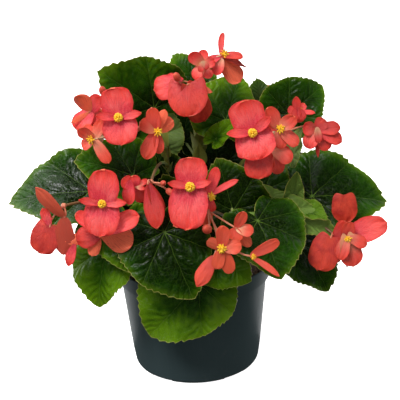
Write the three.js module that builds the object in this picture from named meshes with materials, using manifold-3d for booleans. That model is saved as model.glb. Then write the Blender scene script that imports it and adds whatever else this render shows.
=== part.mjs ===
// A flowering begonia in a round nursery pot, in millimetres, with +Z up.
// The origin is the middle of the pot's base. The side that faces the viewer faces -Y.

import * as THREE from 'three';
import { mergeVertices } from 'three/addons/utils/BufferGeometryUtils.js';
import Module from 'manifold-3d';

const wasm = await Module();
wasm.setup();

// Pot
const POT_HEIGHT = 107.5;
const RIM_RADIUS = 76;
const RIM_BAND = 14.3;
const POT_TOP_RADIUS = 72.8;
const POT_BASE_RADIUS = 63.1;
const POT_WALL = 1.8;
const BASE_FILLET = 5.6;
const POT_SIDES = 30;
const NOTCH_COUNT = 5;
const NOTCH_HEIGHT = 2.5;
const NOTCH_WIDTH = 24;
const NOTCH_DEPTH = 12;
const DRAIN_RADIUS = 3.5;

// Soil and the holes that the stems stand in
const SOIL_TOP = 94;
const SOIL_LUMPS = 1.4;
const SOIL_SIDES = 18;
const TOUCH_GAP = 0.3;
const HOLE_CLEARANCE = 0.6;
const ROOT_DEPTH = 16;

// Stems and stalks
const CANE_SIDES = 6;
const STALK_SIDES = 4;
const PETIOLE_RADIUS = 1.5;
const STALK_INSET = 0.12;
const BRANCH_RADIUS = 1.7;
const PEDICEL_RADIUS = 1.1;
const BRANCH_SHARE = 0.4;

// Leaf blades
const LEAF_THICKNESS = 1.0;
const LEAF_VEINS = 8;
const LEAF_STEPS = 3;
const LEAF_RING = 0.55;
const LEAF_WAVE = 0.03;
const LEAF_PLEAT = 0.018;
const LEAF_TOOTH = 0.025;
const TIP_REACH = 0.1;
const TIP_ANGLE = 0.17;
// The outline's reach from the junction, as a share of the leaf's length, every 30 degrees from the tip.
const LEAF_REACH = [0.9, 0.8, 0.7, 0.66, 0.62, 0.5, 0.12, 0.36, 0.48, 0.54, 0.6, 0.72];

// Flowers
const PETAL_THICKNESS = 0.8;
const BROAD_POINTS = 10;
const SLIM_POINTS = 6;
const PETAL_MIDDLE = 0.55;
const FLOWER_SEAT = 1.2;
const HUB_RADIUS = 2.4;
const SEED_CASE_LENGTH = 11;
const SEED_CASE_DEPTH = 8;

// Facets of a joined piece that lie this close to one plane become one.
const MERGE_WITHIN = 0.25;

const UP = new THREE.Vector3(0, 0, 1);
const vector = (list) => new THREE.Vector3(...list);
const radians = THREE.MathUtils.degToRad;

// The direction at an azimuth and elevation in degrees, with azimuth 0 toward the viewer and 90 to the right.
function toward([azimuth, elevation]) {
  const [turn, tilt] = [radians(azimuth), radians(elevation)];
  return new THREE.Vector3(Math.sin(turn) * Math.cos(tilt), -Math.cos(turn) * Math.cos(tilt), Math.sin(tilt));
}

// The geometry with nothing but positions, each shared by the triangles that meet there.
function merged(geometry) {
  const bare = geometry.clone();
  bare.deleteAttribute('normal');
  bare.deleteAttribute('uv');
  return mergeVertices(bare, 1e-4);
}

// A closed, merged geometry as a solid that can be joined and cut.
function solid(geometry) {
  const corners = [];
  for (let i = 0; i < geometry.index.count; i += 3) {
    const [a, b, c] = [0, 1, 2].map((k) => geometry.index.getX(i + k));
    if (a !== b && b !== c && c !== a) corners.push(a, b, c);
  }
  return new wasm.Manifold(new wasm.Mesh({
    numProp: 3,
    vertProperties: new Float32Array(geometry.attributes.position.array),
    triVerts: new Uint32Array(corners),
  }));
}

function joined(solids) {
  return solids.reduce((whole, piece) => whole.add(piece)).asOriginal().simplify(MERGE_WITHIN);
}

function named(name, shape, material) {
  const { vertProperties, triVerts } = shape.getMesh();
  const geometry = new THREE.BufferGeometry();
  geometry.setAttribute('position', new THREE.BufferAttribute(new Float32Array(vertProperties), 3));
  geometry.setIndex(new THREE.BufferAttribute(new Uint32Array(triVerts), 1));
  geometry.computeVertexNormals();
  const mesh = new THREE.Mesh(geometry, material);
  mesh.name = name;
  return mesh;
}

// A profile of [radius, height] pairs turned about +Z.
function turned(profile, sides) {
  const points = profile.map(([r, z]) => new THREE.Vector2(r, z));
  return merged(new THREE.LatheGeometry(points, sides)).rotateX(Math.PI / 2);
}

function tube(curve, radius, sides, steps) {
  const section = new THREE.Shape();
  for (let i = 0; i < sides; i += 1) {
    const angle = (i / sides) * 2 * Math.PI;
    const [x, y] = [radius * Math.cos(angle), radius * Math.sin(angle)];
    if (i === 0) section.moveTo(x, y);
    else section.lineTo(x, y);
  }
  section.closePath();
  const path = { steps, bevelEnabled: false, extrudePath: curve };
  return solid(merged(new THREE.ExtrudeGeometry(section, path)));
}

// The stretch of a curve between two shares of its length.
class Stretch extends THREE.Curve {
  constructor(curve, start, end) {
    super();
    Object.assign(this, { curve, start, end });
  }

  getPoint(t, target = new THREE.Vector3()) {
    return this.curve.getPointAt(this.start + (this.end - this.start) * t, target);
  }
}

// A sheet of triangles made into a closed blade of even thickness.
function blade(points, triangles, thickness) {
  const middle = new THREE.BufferGeometry().setFromPoints(points);
  middle.setIndex(triangles.flat());
  middle.computeVertexNormals();
  const { normal } = middle.attributes;
  const normals = points.map((_, i) => new THREE.Vector3().fromBufferAttribute(normal, i));
  const offset = (reach) => points.map((p, i) => p.clone().addScaledVector(normals[i], reach));
  const edges = new Set();
  for (const [a, b, c] of triangles) edges.add(`${a} ${b}`).add(`${b} ${c}`).add(`${c} ${a}`);
  const count = points.length;
  const index = [];
  for (const [a, b, c] of triangles) index.push(a, b, c, a + count, c + count, b + count);
  for (const edge of edges) {
    const [a, b] = edge.split(' ').map(Number);
    if (!edges.has(`${b} ${a}`)) index.push(b, a, a + count, b, a + count, b + count);
  }
  const whole = new THREE.BufferGeometry().setFromPoints([...offset(thickness / 2), ...offset(-thickness / 2)]);
  whole.setIndex(index);
  return solid(whole);
}

// How far the leaf's edge lies from its junction at an angle from the tip, for a leaf 1 long.
function leafReach(angle) {
  const count = LEAF_REACH.length;
  const place = (((angle / (2 * Math.PI)) * count) % count + count) % count;
  const i = Math.floor(place);
  const t = place - i;
  const [p, q, r, s] = [-1, 0, 1, 2].map((k) => LEAF_REACH[(i + k + count) % count]);
  const smooth = q + 0.5 * t * (r - p + t * (2 * p - 5 * q + 4 * r - s + t * (3 * (q - r) + s - p)));
  const fromTip = Math.min(place, count - place) * ((2 * Math.PI) / count);
  return smooth + TIP_REACH * Math.exp(-fromTip / TIP_ANGLE);
}

// The leaf's own directions at its junction: along the midrib, across it, and out of its upper face.
function leafFrame({ joint, tip, bend, face: facing }) {
  const start = vector(joint);
  const chord = vector(tip).sub(start);
  const span = chord.length();
  chord.normalize();
  const face = toward(facing);
  face.addScaledVector(chord, -face.dot(chord)).normalize();
  const half = radians(bend) / 2;
  const along = chord.clone().multiplyScalar(Math.cos(half)).addScaledVector(face, Math.sin(half));
  const out = face.clone().multiplyScalar(Math.cos(half)).addScaledVector(chord, -Math.sin(half));
  const across = out.clone().cross(along);
  const length = (span * half) / Math.sin(half);
  return { start, along, across, out, length, turn: (2 * half) / length };
}

// A point of the leaf at an angle from the midrib and a share of the way out to its edge.
function leafPoint(leaf, frame, angle, share, tooth) {
  const { start, along, across, out, length, turn } = frame;
  const reach = share * length * leafReach(angle * leaf.full) * (1 + tooth);
  const u = reach * Math.cos(angle);
  const v = reach * Math.sin(angle) * (leaf.wide ?? 1);
  const wave = LEAF_WAVE * length * share * share * Math.sin(5 * angle + leaf.tip[0]);
  const pleat = LEAF_PLEAT * length * share * Math.cos(LEAF_VEINS * angle);
  const lift = (leaf.cup * v * v) / length + wave - pleat;
  return start.clone()
    .addScaledVector(along, Math.sin(turn * u) / turn + lift * Math.sin(turn * u))
    .addScaledVector(out, (Math.cos(turn * u) - 1) / turn + lift * Math.cos(turn * u))
    .addScaledVector(across, v);
}

// The blade spans from its junction to a ring of points on the veins, and from there to its toothed edge.
function leafBlade(leaf) {
  const frame = leafFrame(leaf);
  const rim = LEAF_VEINS * LEAF_STEPS;
  const points = [frame.start.clone()];
  const triangles = [];
  for (let i = 0; i < LEAF_VEINS; i += 1) {
    points.push(leafPoint(leaf, frame, (i / LEAF_VEINS) * 2 * Math.PI, LEAF_RING, 0));
  }
  for (let i = 0; i < rim; i += 1) {
    const tooth = i % 2 ? -LEAF_TOOTH : LEAF_TOOTH;
    points.push(leafPoint(leaf, frame, (i / rim) * 2 * Math.PI, 1, tooth));
  }
  for (let i = 0; i < LEAF_VEINS; i += 1) {
    const [a, b] = [1 + i, 1 + ((i + 1) % LEAF_VEINS)];
    const [c, d, e, f] = [0, 1, 2, 3].map((k) => 1 + LEAF_VEINS + ((LEAF_STEPS * i + k) % rim));
    triangles.push([0, a, b], [a, c, d], [a, d, e], [a, e, b], [b, e, f]);
  }
  return blade(points, triangles, LEAF_THICKNESS);
}

// The stalk that a leaf hangs on, from a point of the cane into the blade's underside by the junction.
function petiole(leaf, from) {
  const frame = leafFrame(leaf);
  const { along, out } = frame;
  const ahead = leafPoint(leaf, frame, 0, LEAF_RING, 0);
  const beside = leafPoint(leaf, frame, (2 * Math.PI) / LEAF_VEINS, LEAF_RING, 0);
  const end = frame.start.clone().lerp(ahead, STALK_INSET).lerp(beside, STALK_INSET / 3);
  const length = end.distanceTo(from);
  const leave = from.clone().lerp(end, 0.3).addScaledVector(UP, 0.12 * length);
  const arrive = end.clone().addScaledVector(along, -0.08 * length).addScaledVector(out, -0.3 * length);
  end.addScaledVector(out, -0.1);
  return tube(new THREE.CubicBezierCurve3(from, leave, arrive, end), PETIOLE_RADIUS, STALK_SIDES, 3);
}

// The cane of a leafy stem above the soil, which leaves it upright.
function caneCurve({ root, bow, tip }) {
  const foot = new THREE.Vector3(root[0], root[1], SOIL_TOP + 3);
  const rise = foot.clone().addScaledVector(UP, 0.3 * foot.distanceTo(vector(tip)));
  return new THREE.CubicBezierCurve3(foot, rise, vector(bow), vector(tip));
}

// The stalk of a spray, green where it leaves the cane and red from the seat to the hub.
function sprayCurve(spray, cane) {
  const from = cane.getPoint(spray.on);
  const hub = vector(spray.hub);
  const bow = from.clone().lerp(hub, 0.4);
  bow.addScaledVector(cane.getTangent(spray.on), 0.2 * from.distanceTo(hub));
  return new THREE.QuadraticBezierCurve3(from, bow, hub);
}

function leafyStem(stem) {
  const cane = caneCurve(stem);
  const buried = new THREE.LineCurve3(
    new THREE.Vector3(...stem.root, SOIL_TOP - ROOT_DEPTH),
    new THREE.Vector3(...stem.root, SOIL_TOP + 4),
  );
  const pieces = [tube(buried, stem.radius, CANE_SIDES, 1), tube(cane, stem.radius, CANE_SIDES, 5)];
  for (const leaf of stem.leaves) pieces.push(leafBlade(leaf), petiole(leaf, cane.getPoint(leaf.on)));
  for (const spray of stem.sprays) {
    const branch = new Stretch(sprayCurve(spray, cane), 0, BRANCH_SHARE);
    pieces.push(tube(branch, BRANCH_RADIUS, STALK_SIDES, 2));
  }
  return joined(pieces);
}

// A flower's own directions: to the right, upward and forward, out of its face.
function flowerFrame({ at, face, roll }) {
  const forward = toward(face);
  const upward = UP.clone().addScaledVector(forward, -forward.z).normalize();
  upward.applyAxisAngle(forward, radians(roll));
  return { at: vector(at), right: upward.clone().cross(forward), upward, forward };
}

const placed = (geometry, { at, right, upward, forward }) => geometry.clone()
  .applyMatrix4(new THREE.Matrix4().makeBasis(right, upward, forward).setPosition(at));

// A petal set at an angle around the flower and raised toward its front.
function petal(frame, { around, length, width, raise, curl, cup, full, level = 0, twist = 0, points }) {
  const direction = frame.right.clone().multiplyScalar(Math.cos(radians(around)))
    .addScaledVector(frame.upward, Math.sin(radians(around)));
  const tilt = radians(raise);
  const along = direction.clone().multiplyScalar(Math.cos(tilt));
  along.addScaledVector(frame.forward, Math.sin(tilt));
  const out = frame.forward.clone().multiplyScalar(Math.cos(tilt));
  out.addScaledVector(direction, -Math.sin(tilt));
  out.applyAxisAngle(along, radians(twist));
  const across = out.clone().cross(along);
  const turn = radians(curl) / length;
  const start = frame.at.clone().addScaledVector(direction, 0.3).addScaledVector(frame.forward, level);
  const place = (share, x) => {
    const angle = turn * share * length;
    const lift = (cup * x * x) / width;
    return start.clone()
      .addScaledVector(along, Math.sin(angle) / turn - lift * Math.sin(angle))
      .addScaledVector(out, (1 - Math.cos(angle)) / turn + lift * Math.cos(angle))
      .addScaledVector(across, x);
  };
  const sheet = [place(PETAL_MIDDLE, 0)];
  const triangles = [];
  for (let i = 0; i < points; i += 1) {
    const angle = (i / points) * 2 * Math.PI;
    const x = (width / 2) * Math.sin(angle) * (1 - full * Math.cos(angle));
    sheet.push(place((1 - Math.cos(angle)) / 2, x));
    triangles.push([0, 1 + i, 1 + ((i + 1) % points)]);
  }
  return blade(sheet, triangles, PETAL_THICKNESS);
}

const broad = { width: 32, length: 28, full: 0.3, points: BROAD_POINTS };
const slim = { width: 10, length: 19, full: 0.1, points: SLIM_POINTS };
const five = [90, 162, 234, 306, 378];

// The petals of each kind of flower at full size.
const KINDS = {
  male: [
    { ...broad, around: 90, raise: 12, curl: -22, cup: 0.25, level: -1 },
    { ...broad, around: 270, raise: 12, curl: -22, cup: 0.25, level: -1 },
    { ...slim, around: 0, raise: 30, curl: -30, cup: 0.5, level: 0.1 },
    { ...slim, around: 180, raise: 30, curl: -30, cup: 0.5, level: 0.1 },
  ],
  female: five.map((around) => ({
    around, width: 13, length: 17, raise: 20, curl: -18, cup: 0.2, full: 0.45, twist: 18, points: SLIM_POINTS,
  })),
  half: [
    { ...broad, around: 90, raise: 50, curl: 14, cup: 0.35 },
    { ...broad, around: 270, raise: 50, curl: 14, cup: 0.35 },
  ],
  folded: [
    { around: 90, width: 19, length: 34, raise: 76, curl: 14, cup: 0.2, full: 0.2, points: SLIM_POINTS },
    { around: 270, width: 19, length: 34, raise: 76, curl: 14, cup: 0.2, full: 0.2, points: SLIM_POINTS },
  ],
};

const WINGED = 'female';

function scaledPetal(shape, size) {
  return { ...shape, width: shape.width * size, length: shape.length * size };
}

// The three-winged seed case behind a female flower, along -Z from the seat of its stigmas.
function seedCase() {
  const profile = [[0, -SEED_CASE_LENGTH], [5, -SEED_CASE_DEPTH], [1.2, FLOWER_SEAT], [0, FLOWER_SEAT]];
  const shape = turned(profile, 6);
  const position = shape.attributes.position;
  for (let i = 0; i < position.count; i += 1) {
    const [x, y] = [position.getX(i), position.getY(i)];
    const wing = Math.cos(3 * Math.atan2(y, x)) > 0 ? 1 : 0.35;
    if (Math.hypot(x, y) > 1.5) position.setXYZ(i, x * wing, y * wing, position.getZ(i));
  }
  return shape;
}

const SEED_CASE = seedCase();
const BUD = turned([[0, -1], [4.1, 3.6], [3.4, 8], [0, 11]], 5);

// A column of yellow stamens with a knobbly head, along +Z from the origin.
function stamenKnot() {
  const shape = turned([[0, 0], [1.2, 0], [3.4, 2.8], [2.9, 5.2], [0, 6.4]], 6);
  const position = shape.attributes.position;
  for (let i = 0; i < position.count; i += 1) {
    const [x, y, z] = [position.getX(i), position.getY(i), position.getZ(i)];
    const knob = 1 + 0.13 * Math.cos(3 * Math.atan2(y, x)) * Math.sign(4 - z);
    if (Math.hypot(x, y) > 1.5) position.setXYZ(i, x * knob, y * knob, z);
  }
  return shape;
}

const KNOT = stamenKnot();

// The stamens stand just clear of the flower's seat. Those of a half-open flower are small.
function stamens(bloom) {
  const size = bloom.size * (bloom.kind === 'half' ? 0.6 : 1);
  const seat = FLOWER_SEAT + TOUCH_GAP;
  return solid(placed(KNOT.clone().scale(size, size, size).translate(0, 0, seat), flowerFrame(bloom)));
}

function flower(bloom) {
  const frame = flowerFrame(bloom);
  if (bloom.kind === 'bud') {
    return solid(placed(BUD.clone().scale(bloom.size, bloom.size, bloom.size), frame));
  }
  const pieces = KINDS[bloom.kind].map((shape) => petal(frame, scaledPetal(shape, bloom.size)));
  if (bloom.kind === WINGED) pieces.push(solid(placed(SEED_CASE, frame)));
  return joined(pieces);
}

// The thin stalk from the spray's hub to the back of a flower.
function pedicel(bloom, hub) {
  const { at, forward } = flowerFrame(bloom);
  const end = at.clone().addScaledVector(forward, bloom.kind === WINGED ? -SEED_CASE_DEPTH : FLOWER_SEAT);
  const bow = end.clone().addScaledVector(forward, -0.4 * end.distanceTo(hub));
  return tube(new THREE.QuadraticBezierCurve3(hub, bow, end), PEDICEL_RADIUS, STALK_SIDES, 2);
}

function flowerSpray(spray, stem) {
  const curve = sprayCurve(spray, caneCurve(stem));
  const seat = BRANCH_SHARE + TOUCH_GAP / curve.getLength();
  const hub = vector(spray.hub);
  const pieces = [
    tube(new Stretch(curve, seat, 1), BRANCH_RADIUS, STALK_SIDES, 2),
    solid(merged(new THREE.OctahedronGeometry(HUB_RADIUS)).translate(hub.x, hub.y, hub.z)),
  ];
  for (const bloom of spray.blooms) pieces.push(pedicel(bloom, hub), flower(bloom));
  return joined(pieces);
}

// The stems, placed by hand: where each stands in the soil, how it bows, and what it carries. "on" is
// the place along the cane. A leaf runs from its joint with the stalk to its tip, and face is where its
// upper side looks, as azimuth and elevation in degrees, with azimuth 0 toward the viewer. Its bend and
// cup curve it, full says which half is the broad one, and wide stretches it across. A bloom has its
// centre, its facing, its roll about that facing, and its size.
const STEMS = [
  {
    root: [-30, -12],
    bow: [-42, -38, 175],
    tip: [-62, -62, 196],
    radius: 2.6,
    leaves: [
      {
        on: 1, joint: [-92, -47, 200], tip: [-169, -41, 190],
        face: [-15, 50], bend: 30, full: -1, cup: 0.12, wide: 0.88,
      },
      {
        on: 0.9, joint: [-52, -54, 216], tip: [-104, -56, 234],
        face: [-10, 50], bend: 30, full: -1, cup: 0.1,
      },
      {
        on: 0.85, joint: [-58, -92, 188], tip: [-57, -116, 147],
        face: [-10, 30], bend: 25, full: -1, cup: -0.1, wide: 1.15,
      },
      {
        on: 0.6, joint: [-77, -78, 159], tip: [-90, -92, 102],
        face: [-30, 30], bend: 30, full: -1, cup: -0.1,
      },
    ],
    sprays: [
      {
        name: 'd',
        on: 0.97,
        hub: [-69, -106, 205],
        blooms: [
          { kind: 'male', at: [-76, -125, 217], face: [-5, 22], roll: 0, size: 0.95 },
          { kind: 'half', at: [-62, -134, 197], face: [50, -40], roll: 20, size: 1 },
          { kind: 'half', at: [-96, -110, 190], face: [-30, -75], roll: 10, size: 0.85 },
        ],
      },
      {
        name: 'e',
        on: 1,
        hub: [-112, -98, 206],
        blooms: [
          { kind: 'half', at: [-130, -98, 188], face: [-10, -70], roll: 0, size: 0.95 },
          { kind: 'half', at: [-102, -106, 202], face: [-80, -5], roll: 35, size: 0.9 },
        ],
      },
    ],
  },
  {
    root: [-14, -4],
    bow: [-20, -10, 190],
    tip: [-22, -22, 232],
    radius: 2.8,
    leaves: [
      { on: 1, joint: [-31, -6, 266], tip: [-79, -22, 308], face: [-5, 25], bend: 25, full: -1, cup: 0.1 },
      { on: 0.9, joint: [-38, -2, 232], tip: [-58, 20, 276], face: [-10, 55], bend: 20, full: -1, cup: 0.1 },
      { on: 0.75, joint: [-23, -22, 196], tip: [-66, -26, 224], face: [0, 30], bend: 25, full: 1, cup: 0 },
    ],
    sprays: [
      {
        name: 'a',
        on: 0.98,
        hub: [-44, -72, 266],
        blooms: [
          { kind: 'male', at: [-59, -88, 281], face: [-8, 22], roll: 0, size: 1.05 },
          { kind: 'female', at: [-88, -82, 262], face: [-40, 0], roll: 20, size: 1 },
          { kind: 'half', at: [-86, -66, 286], face: [-20, 20], roll: 60, size: 0.8 },
          { kind: 'female', at: [-25, -78, 264], face: [25, 15], roll: 10, size: 1 },
          { kind: 'bud', at: [-72, -72, 299], face: [-20, 60], roll: 0, size: 0.8 },
        ],
      },
      {
        name: 'f',
        on: 0.85,
        hub: [-34, -102, 226],
        blooms: [
          { kind: 'bud', at: [-46, -112, 228], face: [-60, 10], roll: 0, size: 1.2 },
          { kind: 'folded', at: [-30, -118, 224], face: [0, -75], roll: 15, size: 1 },
          { kind: 'bud', at: [-24, -112, 228], face: [20, 20], roll: 0, size: 0.6 },
          { kind: 'bud', at: [-20, -112, 222], face: [40, -20], roll: 0, size: 0.7 },
        ],
      },
    ],
  },
  {
    root: [6, 4],
    bow: [10, 8, 200],
    tip: [12, 2, 252],
    radius: 2.8,
    leaves: [
      { on: 0.97, joint: [12, 36, 278], tip: [-11, 56, 302], face: [0, 40], bend: 15, full: 1, cup: 0.1 },
      {
        on: 0.95, joint: [36, -4, 250], tip: [52, 30, 284],
        face: [10, 25], bend: 20, full: 1, cup: 0.15, wide: 1.1,
      },
      { on: 0.8, joint: [26, -22, 238], tip: [45, -18, 255], face: [0, 40], bend: 20, full: 1, cup: 0.3 },
    ],
    sprays: [
      {
        name: 'b',
        on: 1,
        hub: [12, -22, 288],
        blooms: [
          { kind: 'half', at: [3, -33, 292], face: [180, -60], roll: 0, size: 1.2 },
          { kind: 'half', at: [-20, -30, 302], face: [-20, -70], roll: 0, size: 0.8 },
          { kind: 'female', at: [18, -18, 307], face: [10, 15], roll: 0, size: 0.85 },
          { kind: 'female', at: [38, -12, 316], face: [20, 10], roll: 20, size: 1.1 },
          { kind: 'bud', at: [-4, -20, 302], face: [-30, 60], roll: 0, size: 0.8 },
        ],
      },
    ],
  },
  {
    root: [22, 8],
    bow: [40, 0, 190],
    tip: [60, -18, 226],
    radius: 2.6,
    leaves: [
      {
        on: 1, joint: [96, -4, 253], tip: [131, 10, 277],
        face: [10, 30], bend: 25, full: 1, cup: 0.15, wide: 1.1,
      },
      {
        on: 0.9, joint: [94, -50, 226], tip: [104, -46, 254],
        face: [-30, 30], bend: 20, full: 1, cup: 0.3, wide: 0.5,
      },
    ],
    sprays: [
      {
        name: 'c',
        on: 0.97,
        hub: [72, -74, 250],
        blooms: [
          { kind: 'male', at: [57, -98, 266], face: [-10, 18], roll: 20, size: 1.05 },
          { kind: 'female', at: [83, -84, 262], face: [20, 10], roll: 0, size: 1 },
          { kind: 'half', at: [62, -96, 240], face: [-5, -50], roll: 0, size: 1 },
          { kind: 'half', at: [88, -84, 240], face: [35, -30], roll: 0, size: 1 },
          { kind: 'female', at: [106, -54, 270], face: [30, 35], roll: 0, size: 0.8 },
          { kind: 'half', at: [121, -60, 247], face: [20, 10], roll: 65, size: 0.95 },
        ],
      },
    ],
  },
  {
    root: [30, -10],
    bow: [62, -30, 160],
    tip: [86, -48, 182],
    radius: 2.6,
    leaves: [
      { on: 1, joint: [113, -45, 185], tip: [184, -40, 174], face: [15, 50], bend: 30, full: 1, cup: 0.12 },
      { on: 0.85, joint: [70, -36, 190], tip: [86, -22, 222], face: [-10, 30], bend: 20, full: 1, cup: 0.1 },
      {
        on: 0.95, joint: [94, -69, 193], tip: [97, -71, 219],
        face: [0, 20], bend: 15, full: 1, cup: 0.9, wide: 0.8,
      },
      {
        on: 0.97, joint: [104, -76, 182], tip: [122, -88, 178],
        face: [20, 60], bend: 20, full: 1, cup: 0.9, wide: 0.8,
      },
      {
        on: 0.6, joint: [96, -66, 145], tip: [125, -84, 105],
        face: [35, 30], bend: 30, full: 1, cup: -0.1, wide: 1.1,
      },
    ],
    sprays: [
      {
        name: 'i',
        on: 0.9,
        hub: [128, -88, 163],
        blooms: [
          { kind: 'half', at: [121, -98, 163], face: [-40, -60], roll: 0, size: 1.1 },
          { kind: 'folded', at: [136, -76, 199], face: [20, -70], roll: 0, size: 0.9 },
          { kind: 'half', at: [147, -88, 163], face: [80, 20], roll: 70, size: 1 },
          { kind: 'female', at: [139, -99, 155], face: [20, -20], roll: 0, size: 0.9 },
        ],
      },
    ],
  },
  {
    root: [16, -24],
    bow: [28, -60, 170],
    tip: [38, -84, 182],
    radius: 2.4,
    leaves: [
      {
        on: 0.95, joint: [58, -106, 187], tip: [75, -141, 146],
        face: [20, 35], bend: 25, full: 1, cup: -0.05, wide: 1.15,
      },
      {
        on: 0.8, joint: [20, -106, 156], tip: [50, -122, 136],
        face: [10, 25], bend: 20, full: -1, cup: 0, wide: 1.1,
      },
      {
        on: 1, joint: [38, -76, 186], tip: [26, -62, 232],
        face: [-10, 25], bend: 20, full: -1, cup: 0.1, wide: 1.1,
      },
    ],
    sprays: [
      {
        name: 'h',
        on: 0.85,
        hub: [14, -124, 206],
        blooms: [
          { kind: 'female', at: [24, -150, 182], face: [0, 10], roll: 0, size: 1 },
          { kind: 'folded', at: [15, -148, 172], face: [-60, -50], roll: 0, size: 0.85 },
          { kind: 'half', at: [40, -136, 203], face: [10, 0], roll: 80, size: 0.8 },
          { kind: 'bud', at: [14, -142, 195], face: [-20, 30], roll: 0, size: 1 },
          { kind: 'half', at: [52, -150, 180], face: [60, -15], roll: 10, size: 0.95 },
        ],
      },
    ],
  },
  {
    root: [0, -38],
    bow: [2, -70, 170],
    tip: [4, -92, 190],
    radius: 2.4,
    leaves: [
      {
        on: 0.95, joint: [-24, -116, 184], tip: [-1, -138, 128],
        face: [-5, 30], bend: 25, full: -1, cup: -0.05, wide: 1.05,
      },
      { on: 0.6, joint: [4, -104, 128], tip: [-45, -98, 72], face: [-5, 20], bend: 25, full: -1, cup: -0.1 },
    ],
    sprays: [
      {
        name: 'g',
        on: 1,
        hub: [6, -114, 210],
        blooms: [
          { kind: 'male', at: [0, -140, 233], face: [0, 20], roll: 0, size: 1.1 },
          { kind: 'female', at: [20, -128, 226], face: [35, 0], roll: 0, size: 1 },
        ],
      },
    ],
  },
  {
    root: [-28, 22],
    bow: [-50, 40, 165],
    tip: [-62, 52, 190],
    radius: 2.6,
    leaves: [
      { on: 1, joint: [-78, 56, 190], tip: [-136, 92, 166], face: [-125, 55], bend: 30, full: -1, cup: 0.1 },
      {
        on: 0.8, joint: [-68, 76, 162], tip: [-108, 124, 124],
        face: [-145, 55], bend: 30, full: 1, cup: 0.1,
      },
      { on: 0.6, joint: [-84, 0, 176], tip: [-140, 10, 154], face: [-105, 55], bend: 25, full: 1, cup: 0.1 },
    ],
    sprays: [
      {
        name: 'j',
        on: 0.97,
        hub: [-66, 72, 222],
        blooms: [
          { kind: 'male', at: [-76, 98, 232], face: [-145, 25], roll: 0, size: 1 },
          { kind: 'female', at: [-96, 78, 226], face: [-110, 10], roll: 0, size: 1 },
        ],
      },
    ],
  },
  {
    root: [30, 22],
    bow: [52, 36, 165],
    tip: [66, 46, 190],
    radius: 2.6,
    leaves: [
      { on: 1, joint: [86, 46, 194], tip: [146, 70, 174], face: [115, 55], bend: 30, full: 1, cup: 0.1 },
      { on: 0.8, joint: [68, 76, 160], tip: [108, 124, 122], face: [145, 55], bend: 30, full: -1, cup: 0.1 },
      { on: 0.6, joint: [88, 6, 172], tip: [148, 14, 149], face: [100, 55], bend: 25, full: -1, cup: 0.1 },
    ],
    sprays: [
      {
        name: 'k',
        on: 0.97,
        hub: [76, 76, 220],
        blooms: [
          { kind: 'male', at: [86, 102, 232], face: [140, 25], roll: 0, size: 1 },
          { kind: 'female', at: [64, 96, 214], face: [170, 0], roll: 0, size: 1 },
        ],
      },
    ],
  },
  {
    root: [0, 30],
    bow: [0, 50, 180],
    tip: [2, 66, 214],
    radius: 2.6,
    leaves: [
      { on: 1, joint: [6, 84, 208], tip: [14, 146, 188], face: [175, 55], bend: 30, full: 1, cup: 0.1 },
      { on: 0.75, joint: [-4, 92, 172], tip: [0, 150, 132], face: [-175, 55], bend: 30, full: -1, cup: 0.1 },
      { on: 0.95, joint: [-20, 64, 240], tip: [-62, 92, 254], face: [-150, 55], bend: 25, full: 1, cup: 0.1 },
      { on: 0.93, joint: [28, 62, 240], tip: [78, 88, 250], face: [145, 55], bend: 25, full: -1, cup: 0.1 },
      {
        on: 0.7, joint: [-2, 34, 186], tip: [4, 26, 240],
        face: [0, 15], bend: 15, full: 1, cup: 0.05, wide: 1.3,
      },
    ],
    sprays: [
      {
        name: 'l',
        on: 0.98,
        hub: [6, 96, 236],
        blooms: [
          { kind: 'male', at: [8, 116, 246], face: [178, 25], roll: 0, size: 1 },
          { kind: 'female', at: [-14, 106, 240], face: [-150, 20], roll: 0, size: 1 },
        ],
      },
    ],
  },
];

const leafGreen = new THREE.MeshStandardMaterial({ color: 0x2f5a1c, roughness: 0.45, metalness: 0 });
const petalCoral = new THREE.MeshStandardMaterial({ color: 0xe8504a, roughness: 0.6, metalness: 0 });
const stamenYellow = new THREE.MeshStandardMaterial({ color: 0xf2b51d, roughness: 0.7, metalness: 0 });
const potPlastic = new THREE.MeshStandardMaterial({ color: 0x28332f, roughness: 0.5, metalness: 0 });
const soilBrown = new THREE.MeshStandardMaterial({ color: 0x2c2019, roughness: 1, metalness: 0 });

// The radius of the pot's outside, below its rim band, at a height.
function potRadius(z) {
  return POT_BASE_RADIUS + ((POT_TOP_RADIUS - POT_BASE_RADIUS) * z) / (POT_HEIGHT - RIM_BAND);
}

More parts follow.
